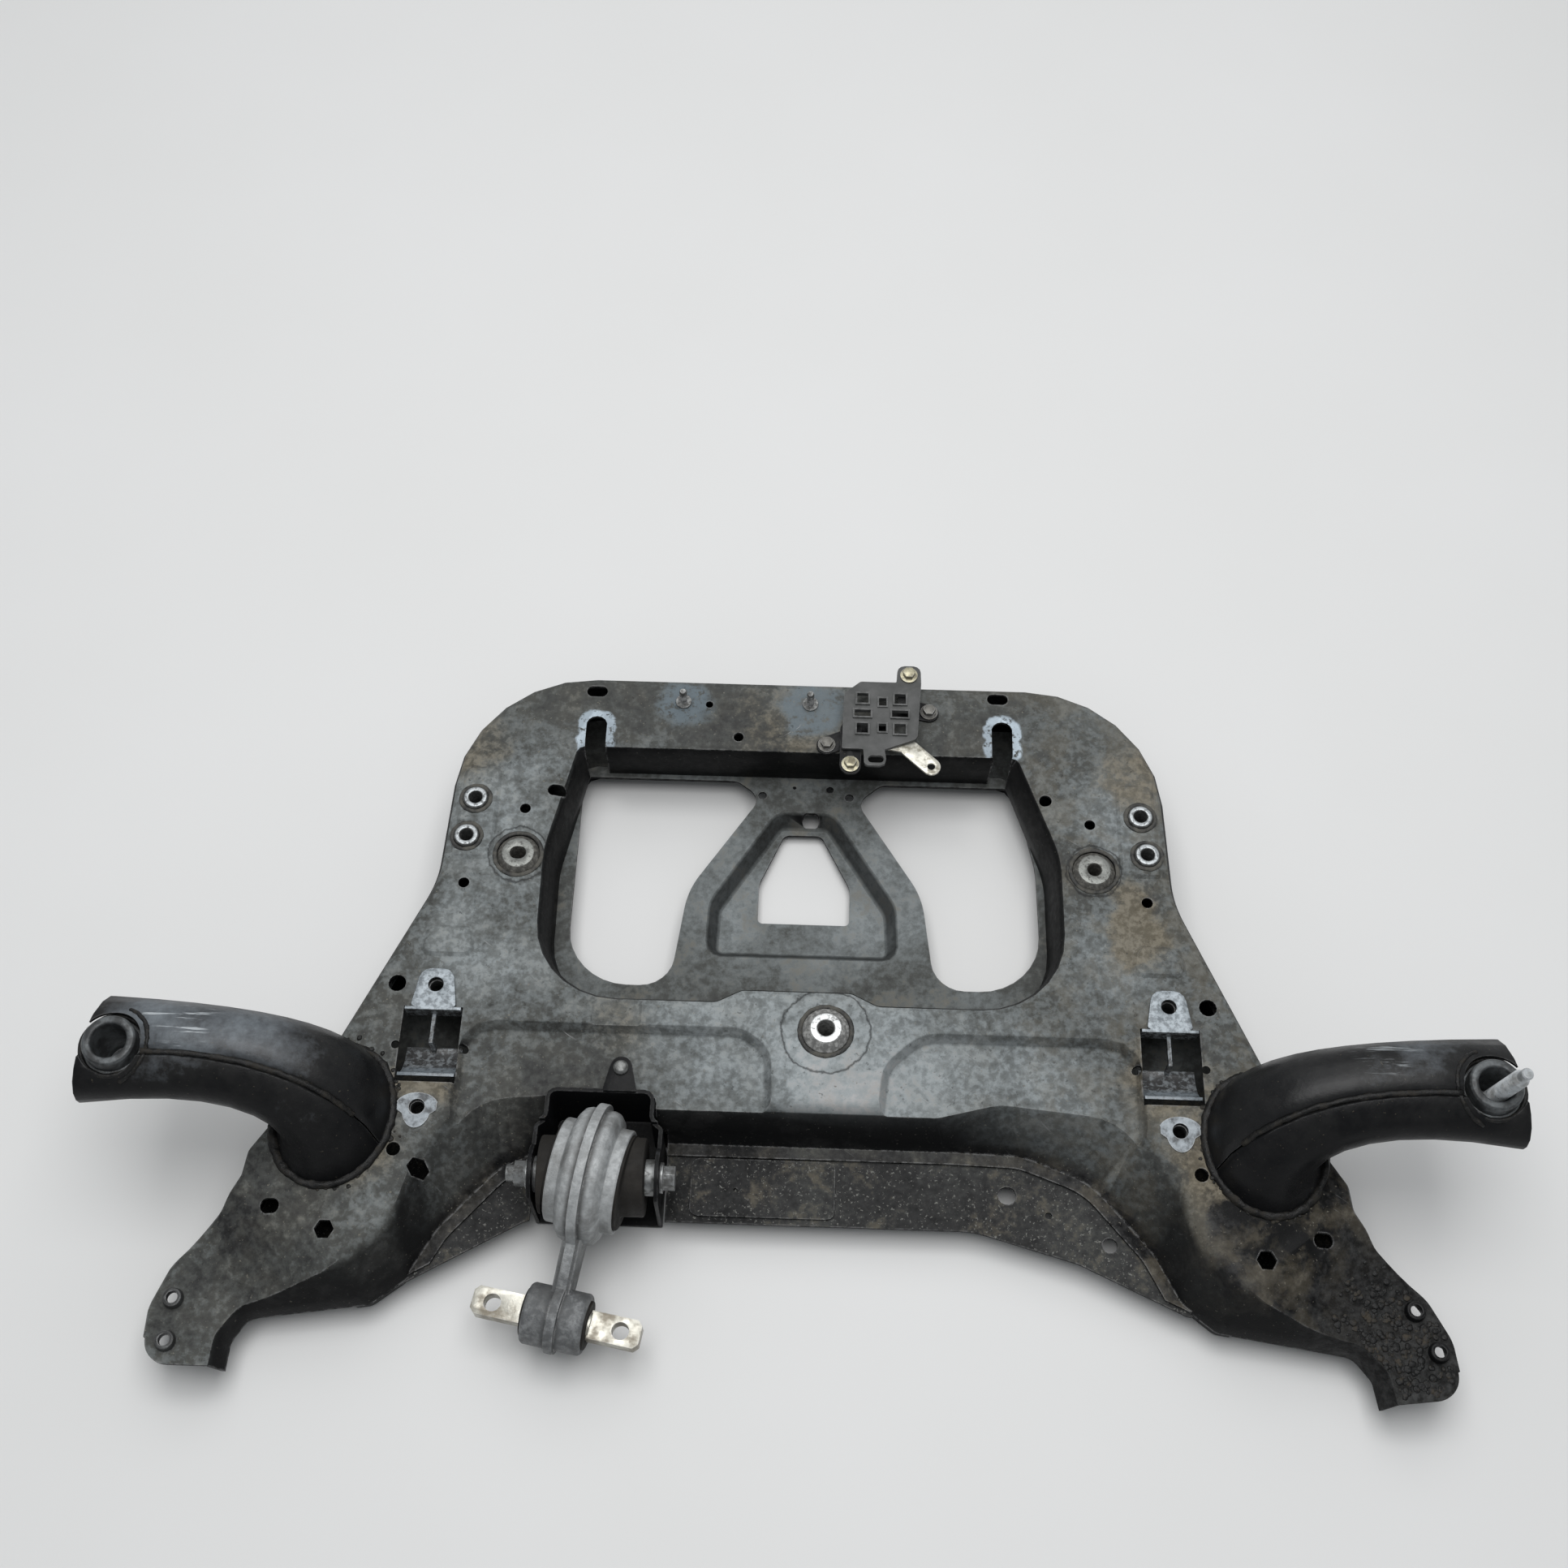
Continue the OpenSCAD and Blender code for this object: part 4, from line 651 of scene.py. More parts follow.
def plate_finish():
    """Grey moulded plate with scuffs."""
    tint = colours()
    material, nodes, shader, place = start_material("plate_finish", 0.35)
    scuffs = scratches(nodes, place, 1.1, 0.4)
    wear_and_highlight = edges(nodes, place, 0.001, 200.0)
    cloud = blotches(nodes, place, 70.0, 0.5, 0.2)
    colour = nodes.mix(nodes.times(cloud, 0.6), rgba(tint.plastic), grey(0.115))
    # Scuffs, and edges painted pale as wear and as painted highlight
    colour = nodes.mix(nodes.largest([scuffs, nodes.times(wear_and_highlight, 0.6)]), colour, grey(0.30))
    set_finish(nodes, shader, colour, nodes.ramp(nodes.noise(place, 80.0), 0.3, 0.7, 0.42, 0.62))
    bump(nodes, shader, nodes.noise(place, 900.0, 3.0, 0.7), 0.15, 0.0006)
    return material


def crust_finish(name, base, dirt, level):
    """Lumpy weld, grease or crust: dark with dirt in patches."""
    material, nodes, shader, place = start_material(name, 0.3)
    mask = blotches(nodes, place, 110.0, level, 0.12)
    colour = nodes.mix(nodes.times(mask, 0.8), rgba(base), rgba(dirt))
    set_finish(nodes, shader, colour, nodes.ramp(mask, 0.0, 1.0, 0.42, 0.8))
    bump(nodes, shader, nodes.noise(place, 300.0, 5.0, 0.65), 0.5, 0.002)
    return material


def deselect():
    if bpy.context.mode != "OBJECT":
        bpy.ops.object.mode_set(mode="OBJECT")
    bpy.ops.object.select_all(action="DESELECT")


def pick(piece):
    deselect()
    piece.select_set(True)
    bpy.context.view_layer.objects.active = piece


def edit_all():
    """Opens the active piece in edit mode with all of it selected."""
    bpy.ops.object.mode_set(mode="EDIT")
    bpy.ops.mesh.select_all(action="SELECT")


def face_outward():
    """Turns all faces of the edited piece outward and leaves edit mode."""
    bpy.ops.mesh.select_all(action="SELECT")
    bpy.ops.mesh.normals_make_consistent(inside=False)
    bpy.ops.object.mode_set(mode="OBJECT")


def draw_up(height):
    bpy.ops.mesh.extrude_region_move(TRANSFORM_OT_translate={"value": (0, 0, height)})


def bridge_up(thick):
    """Joins the two edited loops by a flat plate and gives it its thickness."""
    bpy.ops.mesh.select_all(action="SELECT")
    bpy.ops.mesh.bridge_edge_loops()
    bpy.ops.mesh.select_all(action="SELECT")
    draw_up(thick)
    face_outward()


# Points closer than this are one point, in metres, and faces flatter than this are one face
MERGE_GAP = 0.00001
FLAT_ANGLE = math.radians(0.4)


def dress(node, material, edge, angle=32.0):
    """A rounded copy of a CAD node with its finish, standing for that node."""
    pick(frame["nodes"][node])
    bpy.ops.object.duplicate()
    piece = named(node + "_skin")
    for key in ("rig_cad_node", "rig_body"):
        if key in piece:
            del piece[key]
    edit_all()
    bpy.ops.mesh.remove_doubles(threshold=MERGE_GAP)
    bpy.ops.mesh.dissolve_limited(angle_limit=FLAT_ANGLE)
    bpy.ops.object.mode_set(mode="OBJECT")
    rounding = piece.modifiers.new("Rounding", "BEVEL")
    rounding.width = edge
    rounding.segments = 2
    rounding.limit_method = "ANGLE"
    rounding.angle_limit = math.radians(angle)
    bpy.ops.object.modifier_apply(modifier=rounding.name)
    bpy.ops.object.shade_smooth_by_angle(angle=math.radians(angle))
    finish_piece(piece, material, body_of_node(node))
    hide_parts(node)


def finish_piece(piece, material, body):
    piece.data.materials.clear()
    piece.data.materials.append(material)
    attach(piece, body)


def body_of_node(node):
    for body, nodes in frame["record"]["behaviour"]["bodies"].items():
        if node in nodes:
            return body
    raise ValueError("no body holds " + node)


def named(name):
    """Gives the piece just made its name."""
    piece = bpy.context.active_object
    piece.name = name
    piece.data.name = name
    return piece


def settle(piece, matrix=None):
    """Moves a piece to its place and leaves its origin at the frame's own."""
    pick(piece)
    if matrix:
        piece.matrix_world = matrix
    bpy.ops.object.transform_apply(location=True, rotation=True, scale=True)


def joined(pieces, name):
    deselect()
    for piece in pieces:
        piece.select_set(True)
    bpy.context.view_layer.objects.active = pieces[0]
    bpy.ops.object.join()
    return named(name)


def turned(name, profile, sides=28):
    """A solid turned on the Z axis: a disc drawn up ring by ring through heights and radii."""
    deselect()
    start, radius = profile[0]
    bpy.ops.mesh.primitive_circle_add(vertices=sides, radius=radius, fill_type="NGON",
                                      location=(0, 0, start))
    edit_all()
    for (low, before), (high, after) in zip(profile, profile[1:]):
        draw_up(high - low)
        if after != before:
            share = after / before
            bpy.ops.transform.resize(value=(share, share, 1.0), center_override=(0, 0, high))
    face_outward()
    bpy.ops.object.shade_smooth_by_angle(angle=math.radians(28.0))
    piece = named(name)
    settle(piece)
    return piece


def thread(low, high, radius, pitch):
    """Heights and radii of a thread's roots and crests."""
    rows = []
    for step in range(int((high - low) / pitch)):
        rows.append((low + step * pitch, radius - pitch * 0.55))
        rows.append((low + (step + 0.5) * pitch, radius))
    return rows


def torus(name, place, major, minor, flat):
    """A ring with a flattened section round an upright axis."""
    deselect()
    bpy.ops.mesh.primitive_torus_add(location=place, major_radius=major, minor_radius=minor,
                                     major_segments=56, minor_segments=10)
    edit_all()
    bpy.ops.transform.resize(value=(1.0, 1.0, flat), center_override=place)
    bpy.ops.object.mode_set(mode="OBJECT")
    piece = named(name)
    settle(piece)
    return piece


def push_lumps(piece, strength, size):
    """Pushes a mesh in and out by a cloud pattern and smooths it."""
    cloud = bpy.data.textures.new(piece.name + "_lumps", "CLOUDS")
    cloud.noise_scale = size
    pick(piece)
    push = piece.modifiers.new("Lumps", "DISPLACE")
    push.texture = cloud
    push.texture_coords = "LOCAL"
    push.strength = strength
    push.mid_level = 0.5
    bpy.ops.object.modifier_apply(modifier=push.name)
    bpy.ops.object.shade_smooth()


def bead(name, points, thick, closed):
    """A lumpy round bead along a row of points."""
    deselect()
    bpy.ops.curve.primitive_nurbs_path_add()
    line = named(name).data
    line.splines.clear()
    line.bevel_depth = thick
    line.bevel_resolution = 3
    line.use_fill_caps = True
    spline = line.splines.new("POLY")
    spline.points.add(len(points) - 1)
    for knot, place in zip(spline.points, points):
        knot.co = (place.x, place.y, place.z, 1.0)
    spline.use_cyclic_u = closed
    bpy.ops.object.convert(target="MESH")
    piece = named(name)
    edit_all()
    bpy.ops.mesh.remove_doubles(threshold=MERGE_GAP)
    bpy.ops.mesh.subdivide(number_cuts=1)
    face_outward()
    push_lumps(piece, thick * 0.9, thick * 1.6)
    return piece


def lumps(name, rows):
    """Small flattened blobs, each at its place with its radius and flatness, joined as one piece."""
    blobs = []
    for place, radius, flat in rows:
        deselect()
        bpy.ops.mesh.primitive_ico_sphere_add(subdivisions=2, radius=radius, location=place,
                                              scale=(1.0, 1.0, flat))
        blobs.append(bpy.context.active_object)
    piece = joined(blobs, name)
    settle(piece)
    push_lumps(piece, 0.0022, 0.0028)
    return piece


def frame_of(name, middle, half, wall, low, thick):
    """A flat frame round a rectangle, from its middle, its half sizes and the frame's wall."""
    deselect()
    place = (middle[0], middle[1], low)
    bpy.ops.mesh.primitive_plane_add(size=2.0, location=place)
    edit_all()
    bpy.ops.transform.resize(value=(half[0] + wall, half[1] + wall, 1.0), center_override=place)
    bpy.ops.mesh.delete(type="ONLY_FACE")
    bpy.ops.mesh.select_all(action="DESELECT")
    bpy.ops.mesh.primitive_plane_add(size=2.0, location=place)
    bpy.ops.transform.resize(value=(half[0], half[1], 1.0), center_override=place)
    bpy.ops.mesh.delete(type="ONLY_FACE")
    bridge_up(thick)
    piece = named(name)
    settle(piece)
    return piece


def shield(name, place, outer, hole, thick):
    """A thin plate with a bolt hole, broad at the rear and narrow in front."""
    deselect()
    bpy.ops.mesh.primitive_circle_add(vertices=36, radius=outer, location=place)
    piece = named(name)
    for toward, wide, deep in ((-1, 0.74, 1.10), (1, 1.08, 0.74)):
        bpy.ops.object.mode_set(mode="EDIT")
        bpy.ops.mesh.select_all(action="DESELECT")
        bpy.ops.object.mode_set(mode="OBJECT")
        for vertex in piece.data.vertices:
            vertex.select = toward * vertex.co.y > 0.2 * outer
        bpy.ops.object.mode_set(mode="EDIT")
        bpy.ops.transform.resize(value=(wide, deep, 1.0), center_override=place)
    bpy.ops.mesh.select_all(action="DESELECT")
    bpy.ops.mesh.primitive_circle_add(vertices=36, radius=hole, location=place)
    bridge_up(thick)
    settle(piece)
    return piece


def surface(*names):
    """A tree of the named CAD nodes' faces, for finding how high they stand."""
    corners, faces = [], []
    for name in names:
        mesh = frame["nodes"][name].data
        start = len(corners)
        corners += [vertex.co.copy() for vertex in mesh.vertices]
        faces += [[start + index for index in face.vertices] for face in mesh.polygons]
    return BVHTree.FromPolygons(corners, faces)


# Heights from which the faces below are looked for, over the shells and over the horns, in metres
OVER_SHELL = 0.075
OVER_HORN = 0.2


def height_at(tree, x, y, start=OVER_SHELL):
    hit = tree.ray_cast(Vector((x, y, start)), Vector((0, 0, -1)))[0]
    return hit.z if hit else None


def level_spot(tree, x, y, reach=0.0035):
    """The height at a point, if the surface carries on round it."""
    steps = ((0, 0), (1, 0), (-1, 0), (0, 1), (0, -1))
    around = [height_at(tree, x + a * reach, y + b * reach) for a, b in steps]
    if None in around or max(around) - min(around) > reach:
        return None
    return around[0]


# The horn's middle line and size from foot to end, as in the solids, in millimetres
HORN_FOOT = (336.0, -107.5, 68.0)
HORN_TURN = math.radians(7.8)
HORN_RUN = (0.0, 4.0, 50.0, 167.8)
HORN_RISE = (68.0, 114.0, 131.0, 122.0)
HORN_HALF_W = (52.0, 38.0, 28.0, 40.0)
HORN_HALF_H = (42.0, 33.0, 26.0, 27.0)
HORN_BOW = (0.0, 12.0, 22.0, 1.0)
# How far outside the foot the middle of its weld runs, in millimetres
FOOT_GAP = 0.5
# The seam's angle round the horn and its depth below the edge, in millimetres
SEAM_ANGLE = math.radians(108.0)
SEAM_SUNK = 2.6
# The lowest the foot's ring may follow the shell down, in metres
FOOT_LOWEST = 0.05
# Middle of the right sleeve, and radius and depth of the raised rim pressed round it, in metres
SLEEVE = (0.478, -0.08805)
RIM_R = 0.0268
RIM_SUNK = 0.0005


def bezier(four, s):
    a, b, c, d = four
    return a * (1 - s) ** 3 + 3 * b * s * (1 - s) ** 2 + 3 * c * s * s * (1 - s) + d * s ** 3


def horn_place(side, along, across, up):
    """A point in metres from its run along the horn, its sideways offset and its height."""
    x = HORN_FOOT[0] + along * math.cos(HORN_TURN) - across * math.sin(HORN_TURN)
    y = HORN_FOOT[1] + along * math.sin(HORN_TURN) + across * math.cos(HORN_TURN)
    return Vector((side * x, y, up)) / 1000.0


def foot_point(top, side, turn):
    """A point of the ring where the horn's foot meets the shell."""
    angle = math.radians(turn)
    place = horn_place(side, (HORN_HALF_H[0] + FOOT_GAP) * math.cos(angle),
                       (HORN_HALF_W[0] + FOOT_GAP) * math.sin(angle), HORN_FOOT[2])
    high = height_at(top, place.x, place.y)
    if high and high > FOOT_LOWEST:
        place.z = high
    return place


def without_spikes(ring):
    """The ring with each point at the middle height of the five points round it."""
    heights = [place.z for place in ring]
    for index, place in enumerate(ring):
        near = sorted(heights[(index + step) % len(ring)] for step in range(-2, 3))
        place.z = near[2]
    return ring


def seam_point(side, s):
    """A point of the seam along the horn's back."""
    step = 0.004
    ahead = Vector((bezier(HORN_RUN, s + step) - bezier(HORN_RUN, s - step),
                    bezier(HORN_RISE, s + step) - bezier(HORN_RISE, s - step))).normalized()
    high = (bezier(HORN_HALF_H, s) - SEAM_SUNK) * math.sin(SEAM_ANGLE)
    along = bezier(HORN_RUN, s) - high * ahead.y
    across = bezier(HORN_HALF_W, s) * math.cos(SEAM_ANGLE) + bezier(HORN_BOW, s)
    return horn_place(side, along, across, bezier(HORN_RISE, s) + high * ahead.x)


def rim_point(horn, side, turn):
    """A point of the raised rim on the horn's back, from its angle off the way to the foot."""
    angle = math.radians(turn)
    x = side * (SLEEVE[0] - RIM_R * math.cos(angle))
    y = SLEEVE[1] + RIM_R * math.sin(angle)
    return Vector((x, y, height_at(horn, x, y, OVER_HORN) - RIM_SUNK))


class SUBFRAME_OT_shells(Operator):
    """Dress the two pressed shells and the doubler plate"""

    bl_idname = "subframe.shells"
    bl_label = "Shells"

    def execute(self, context):
        edge = sizes().sheet_round
        tray = tray_coat()
        dress("upper_shell", shell_coat(), edge)
        dress("lower_shell", tray, edge)
        dress("lip_doubler", tray, edge)
        return {"FINISHED"}


# Edges of the horns sharper than this are rounded and flatter ones are shaded smooth, in degrees
HORN_FOLD = 48.0


class SUBFRAME_OT_horns(Operator):
    """Dress the horns and their sleeves"""

    bl_idname = "subframe.horns"
    bl_label = "Horns"

    def execute(self, context):
        # The rear halves take the full painted sheen, dust and scuffs; the front halves a quarter of them
        # and less shine
        rear = horn_coat("horn_coat", 1.0, 0.30)
        front = horn_coat("horn_dark", 0.25, 0.14)
        ring = metal_finish("sleeve_rim", (0.13, 0.14, 0.145), (0.012, 0.012, 0.012), 0.35, 90.0,
                            level=0.5, metal=0.5, bright=0.25)
        for side in ("left", "right"):
            dress(f"{side}_horn_rear", rear, sizes().sheet_round, HORN_FOLD)
            dress(f"{side}_horn_front", front, sizes().sheet_round, HORN_FOLD)
            dress(f"{side}_horn_sleeve", ring, sizes().fitting_round)
        return {"FINISHED"}


# The loose stud's outline from its head up, as height and radius, in metres, and its lean in degrees
STUD_R = 0.00625
STUD_HEAD = [(-0.017, 0.0105), (-0.0165, 0.011), (-0.0095, 0.011), (-0.009, 0.0105)]
STUD_SHANK = ([(-0.010, STUD_R), (0.006, STUD_R)] + thread(0.0065, 0.0755, STUD_R, 0.0015)
              + [(0.0755, 0.0052), (0.0765, 0.0042), (0.084, 0.0042), (0.085, 0.0034)])
STUD_SEAT = 0.102
STUD_LEAN = (5.6, 3.5)
# The rear studs' places, and their outline from the foot up, as height and radius, in metres
REAR_STUDS = ((-0.103, 0.2515), (0.0, 0.2525))
REAR_R = 0.003
REAR_STUD = ([(0.0625, REAR_R), (0.0683, REAR_R), (0.0684, 0.0062), (0.0688, 0.0065), (0.0695, 0.0065),
              (0.0698, 0.0061), (0.0699, REAR_R)]
             + thread(0.0704, 0.0838, REAR_R, 0.001) + [(0.084, 0.0028), (0.085, 0.0021)])


class SUBFRAME_OT_studs(Operator):
    """Turn the loose stud and the rear studs with their threads"""

    bl_idname = "subframe.studs"
    bl_label = "Threaded Studs"

    def execute(self, context):
        bright = metal_finish("stud_steel", colours().steel, (0.16, 0.155, 0.14), 0.26, 70.0,
                              level=0.62, metal=0.6)
        head = turned("stud_head", STUD_HEAD, 6)
        shank = turned("stud_shank", STUD_SHANK)
        stud = joined([shank, head], "loose_stud_turned")
        across, along = (math.radians(angle) for angle in STUD_LEAN)
        lean = Matrix.Rotation(across, 4, "Y") @ Matrix.Rotation(along, 4, "X")
        settle(stud, Matrix.Translation((SLEEVE[0], SLEEVE[1], STUD_SEAT)) @ lean)
        finish_piece(stud, bright, "frame")
        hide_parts("loose_stud")
        dull = metal_finish("thread_steel", (0.26, 0.265, 0.26), (0.03, 0.028, 0.025), 0.36, 200.0,
                            level=0.5)
        pair = []
        for x, y in REAR_STUDS:
            one = turned("stud", REAR_STUD)
            settle(one, Matrix.Translation((x, y, 0.0)))
            pair.append(one)
        studs = joined(pair, "rear_studs_turned")
        finish_piece(studs, dull, "frame")
        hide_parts("rear_studs")
        return {"FINISHED"}


# The front rack pads: the right one's middle, its radius, bolt hole, thickness and seat, in metres
PAD_AT = (0.276, -0.0995)
PAD_R = 0.0145
PAD_HOLE = 0.0058
PAD_THICK = 0.0011
PAD_SUNK = 0.0002
# The shell's height is read at this share of the pad's way out, clear of the bolt hole
PAD_PROBE = 0.96
# The weld round each collar of the right side, as place and radius, and its section, in metres
SIDE_WELDS = ((0.2615, 0.1555, 0.0702, 0.0115), (0.265, 0.122, 0.0702, 0.0115),
              (0.2235, 0.1085, 0.0682, 0.0183))
SEAT_WELD_R = 0.0017
MID_COLLAR = (0.019, -0.031, 0.0682)
MID_WELD = (0.0193, 0.0018)
WELD_FLAT = 0.55


class SUBFRAME_OT_collars(Operator):
    """Dress the bolt collars, the rack saddles and the nuts, and lay the weld round each collar"""

    bl_idname = "subframe.collars"
    bl_label = "Collars and Nuts"

    def execute(self, context):
        edge = sizes().fitting_round
        arm = collar_finish("arm_collar", (0.34, 0.36, 0.37), (0.05, 0.051, 0.05))
        mount = collar_finish("mount_collar", (0.17, 0.175, 0.165), (0.06, 0.058, 0.052))
        middle = collar_finish("mid_collar", (0.50, 0.51, 0.51), (0.15, 0.15, 0.145))
        seat = saddle_finish()
        dark = metal_finish("coated_steel", (0.075, 0.078, 0.078), (0.02, 0.02, 0.02), 0.4, 90.0,
                            level=0.5, metal=0.5, bright=0.5)
        for side in ("left", "right"):
            dress(f"{side}_arm_collars", arm, edge)
            dress(f"{side}_mount_collar", mount, edge)
            dress(f"{side}_rack_saddle", seat, edge)
        dress("left_ear_nuts", dark, edge)
        dress("right_ear_nuts", horn_coat("greasy_nuts", 0.0, 0.12), edge)
        dress("mid_collar", middle, edge)
        top = surface("upper_shell")
        pads = []
        for side in (-1, 1):
            x = side * PAD_AT[0]
            low = height_at(top, x * PAD_PROBE, PAD_AT[1]) - PAD_SUNK
            pads.append(shield("pad", (x, PAD_AT[1], low), PAD_R, PAD_HOLE, PAD_THICK))
        plates = joined(pads, "front_rack_pads")
        pale = metal_finish("pad_steel", (0.30, 0.33, 0.355), (0.05, 0.05, 0.05), 0.42, 120.0, metal=0.35)
        finish_piece(plates, pale, "frame")
        dress("rack_nuts", dark, edge)
        weld = crust_finish("collar_weld", (0.03, 0.03, 0.029), (0.12, 0.115, 0.10), 0.5)
        rings = []
        for side in (-1, 1):
            for x, y, z, radius in SIDE_WELDS:
                rings.append(torus("seat_weld", (side * x, y, z), radius, SEAT_WELD_R, WELD_FLAT))
        rings.append(torus("seat_weld", MID_COLLAR, *MID_WELD, WELD_FLAT))
        piece = joined(rings, "collar_welds")
        push_lumps(piece, 0.0012, 0.004)
        finish_piece(piece, weld, "frame")
        return {"FINISHED"}


class SUBFRAME_OT_rod(Operator):
    """Dress the torque rod, its bushes, bolt and bracket"""

    bl_idname = "subframe.rod"
    bl_label = "Torque Rod"

    def execute(self, context):
        edge = sizes().fitting_round
        zinc = metal_finish("rod_zinc", colours().zinc, (0.16, 0.125, 0.075), 0.3, 48.0, level=0.55)
        steel = metal_finish("rod_steel", (0.36, 0.37, 0.37), (0.035, 0.033, 0.03), 0.34, 130.0, level=0.52)
        rubber = rubber_finish()
        dress("torque_rod", cast_finish(), sizes().cast_round)
        dress("big_bush", rubber, sizes().cast_round)
        dress("small_bush", rubber, edge)
        dress("end_bar", zinc, edge)
        dress("rod_bolt", steel, edge)
        dress("rod_nut", steel, edge)
        dress("bush_sleeve", steel, edge)
        dress("rod_bracket", horn_coat("bracket_coat", 0.0, 0.10), sizes().sheet_round)
        rivet = metal_finish("rivet_steel", (0.22, 0.225, 0.22), (0.04, 0.04, 0.037), 0.4, 150.0,
                             level=0.55, metal=0.5)
        dress("bracket_rivet", rivet, edge)
        return {"FINISHED"}


# The plate's six sockets: middle of the first pair, steps, half sizes, wall, foot and rise, in metres
SOCKET_AT = (0.057, 0.221)
SOCKET_STEP = (0.015, 0.014)
SQUARE_HALF = (0.0045, 0.0045)
FLAT_HALF = (0.0065, 0.003)
SOCKET_WALL = 0.0013
SOCKET_LOW = 0.0847
SOCKET_RISE = 0.0018
# The two smaller frames between them
PIN_AT = (0.058, 0.222)
PIN_STEP = 0.024
PIN_HALF = (0.003, 0.0035)
PIN_WALL = 0.0012
PIN_RISE = 0.0014


class SUBFRAME_OT_plate(Operator):
    """Dress the connector plate, its bracket, arm and bolts, and frame its sockets"""

    bl_idname = "subframe.plate"
    bl_label = "Connector Plate"

    def execute(self, context):
        edge = sizes().fitting_round
        plastic = plate_finish()
        gold = metal_finish("plate_gold", (0.46, 0.43, 0.31), (0.12, 0.10, 0.06), 0.34, 120.0)
        dark = metal_finish("bolt_grey", (0.17, 0.165, 0.15), (0.05, 0.046, 0.04), 0.42, 120.0,
                            level=0.54, metal=0.6)
        dress("connector_plate", plastic, edge)
        dress("plate_bracket", horn_coat("plate_bracket_coat", 0.0, 0.12), edge)
        arm = metal_finish("arm_zinc", colours().zinc, (0.17, 0.15, 0.10), 0.34, 130.0)
        dress("zinc_arm", arm, edge)
        dress("plate_bolts", gold, edge)
        dress("bracket_bolts", dark, edge)
        sockets = []
        for row in range(3):
            half = FLAT_HALF if row == 1 else SQUARE_HALF
            for side in (-1, 1):
                middle = (SOCKET_AT[0] + side * SOCKET_STEP[0], SOCKET_AT[1] + row * SOCKET_STEP[1])
                sockets.append(frame_of("socket", middle, half, SOCKET_WALL, SOCKET_LOW, SOCKET_RISE))
        for row in range(2):
            middle = (PIN_AT[0], PIN_AT[1] + row * PIN_STEP)
            sockets.append(frame_of("socket", middle, PIN_HALF, PIN_WALL, SOCKET_LOW, PIN_RISE))
        piece = joined(sockets, "plate_sockets")
        finish_piece(piece, plastic, "frame")
        return {"FINISHED"}


# The seam weld's first point and step along the horn, from 0 at the foot to 1 at the end
SEAM_START = 0.16
SEAM_STEP = 0.03
SEAM_POINTS = 24
# The seam's and the rim's share of the foot bead's thickness
SEAM_SHARE = 0.68
RIM_SHARE = 0.5
# The weld round a sleeve: its height, radius and section, in metres
SLEEVE_WELD_Z = 0.1405
SLEEVE_WELD = (0.0222, 0.0019)


class SUBFRAME_OT_welds(Operator):
    """Lay the weld beads at the horns' feet, seams and sleeves, and the rims raised round the sleeves"""

    bl_idname = "subframe.welds"
    bl_label = "Welds"

    def execute(self, context):
        finish = crust_finish("weld_coat", (0.008, 0.008, 0.008), (0.035, 0.031, 0.025), 0.58)
        thick = sizes().bead_width
        top = surface("upper_shell")
        for side, word in ((-1, "left"), (1, "right")):
            ring = [foot_point(top, side, turn) for turn in range(0, 360, 5)]
            foot = bead(word + "_foot_weld", without_spikes(ring), thick, True)
            line = [seam_point(side, SEAM_START + SEAM_STEP * step) for step in range(SEAM_POINTS)]
            seam = bead(word + "_seam_weld", line, thick * SEAM_SHARE, False)
            place = (side * SLEEVE[0], SLEEVE[1], SLEEVE_WELD_Z)
            collar = torus(word + "_sleeve_weld", place, *SLEEVE_WELD, 1.0)
            push_lumps(collar, 0.001, 0.004)
            horn = surface(word + "_horn_rear", word + "_horn_front")
            arc = [rim_point(horn, side, turn) for turn in range(-70, 75, 5)]
            rim = bead(word + "_sleeve_rim", arc, thick * RIM_SHARE, False)
            for piece in (foot, seam, collar, rim):
                finish_piece(piece, finish, "frame")
        return {"FINISHED"}


# The grease on the right ear: its box, its oval's middle and half sizes, and the nuts it leaves free
GREASE_X = (0.375, 0.485)
GREASE_Y = (-0.281, -0.175)
GREASE_MIDDLE = (0.437, -0.235)
GREASE_HALF = (0.055, 0.05)
GREASE_LUMPS = 260
EAR_NUTS = ((0.437, -0.2165), (0.450, -0.2445))
NUT_CLEAR = 0.0105
# The crust at each horn's root: how many lumps, between which angles, and how far they stray in metres
ROOT_LUMPS = 70
ROOT_TURNS = (70.0, 290.0)
ROOT_SPREAD = 0.004


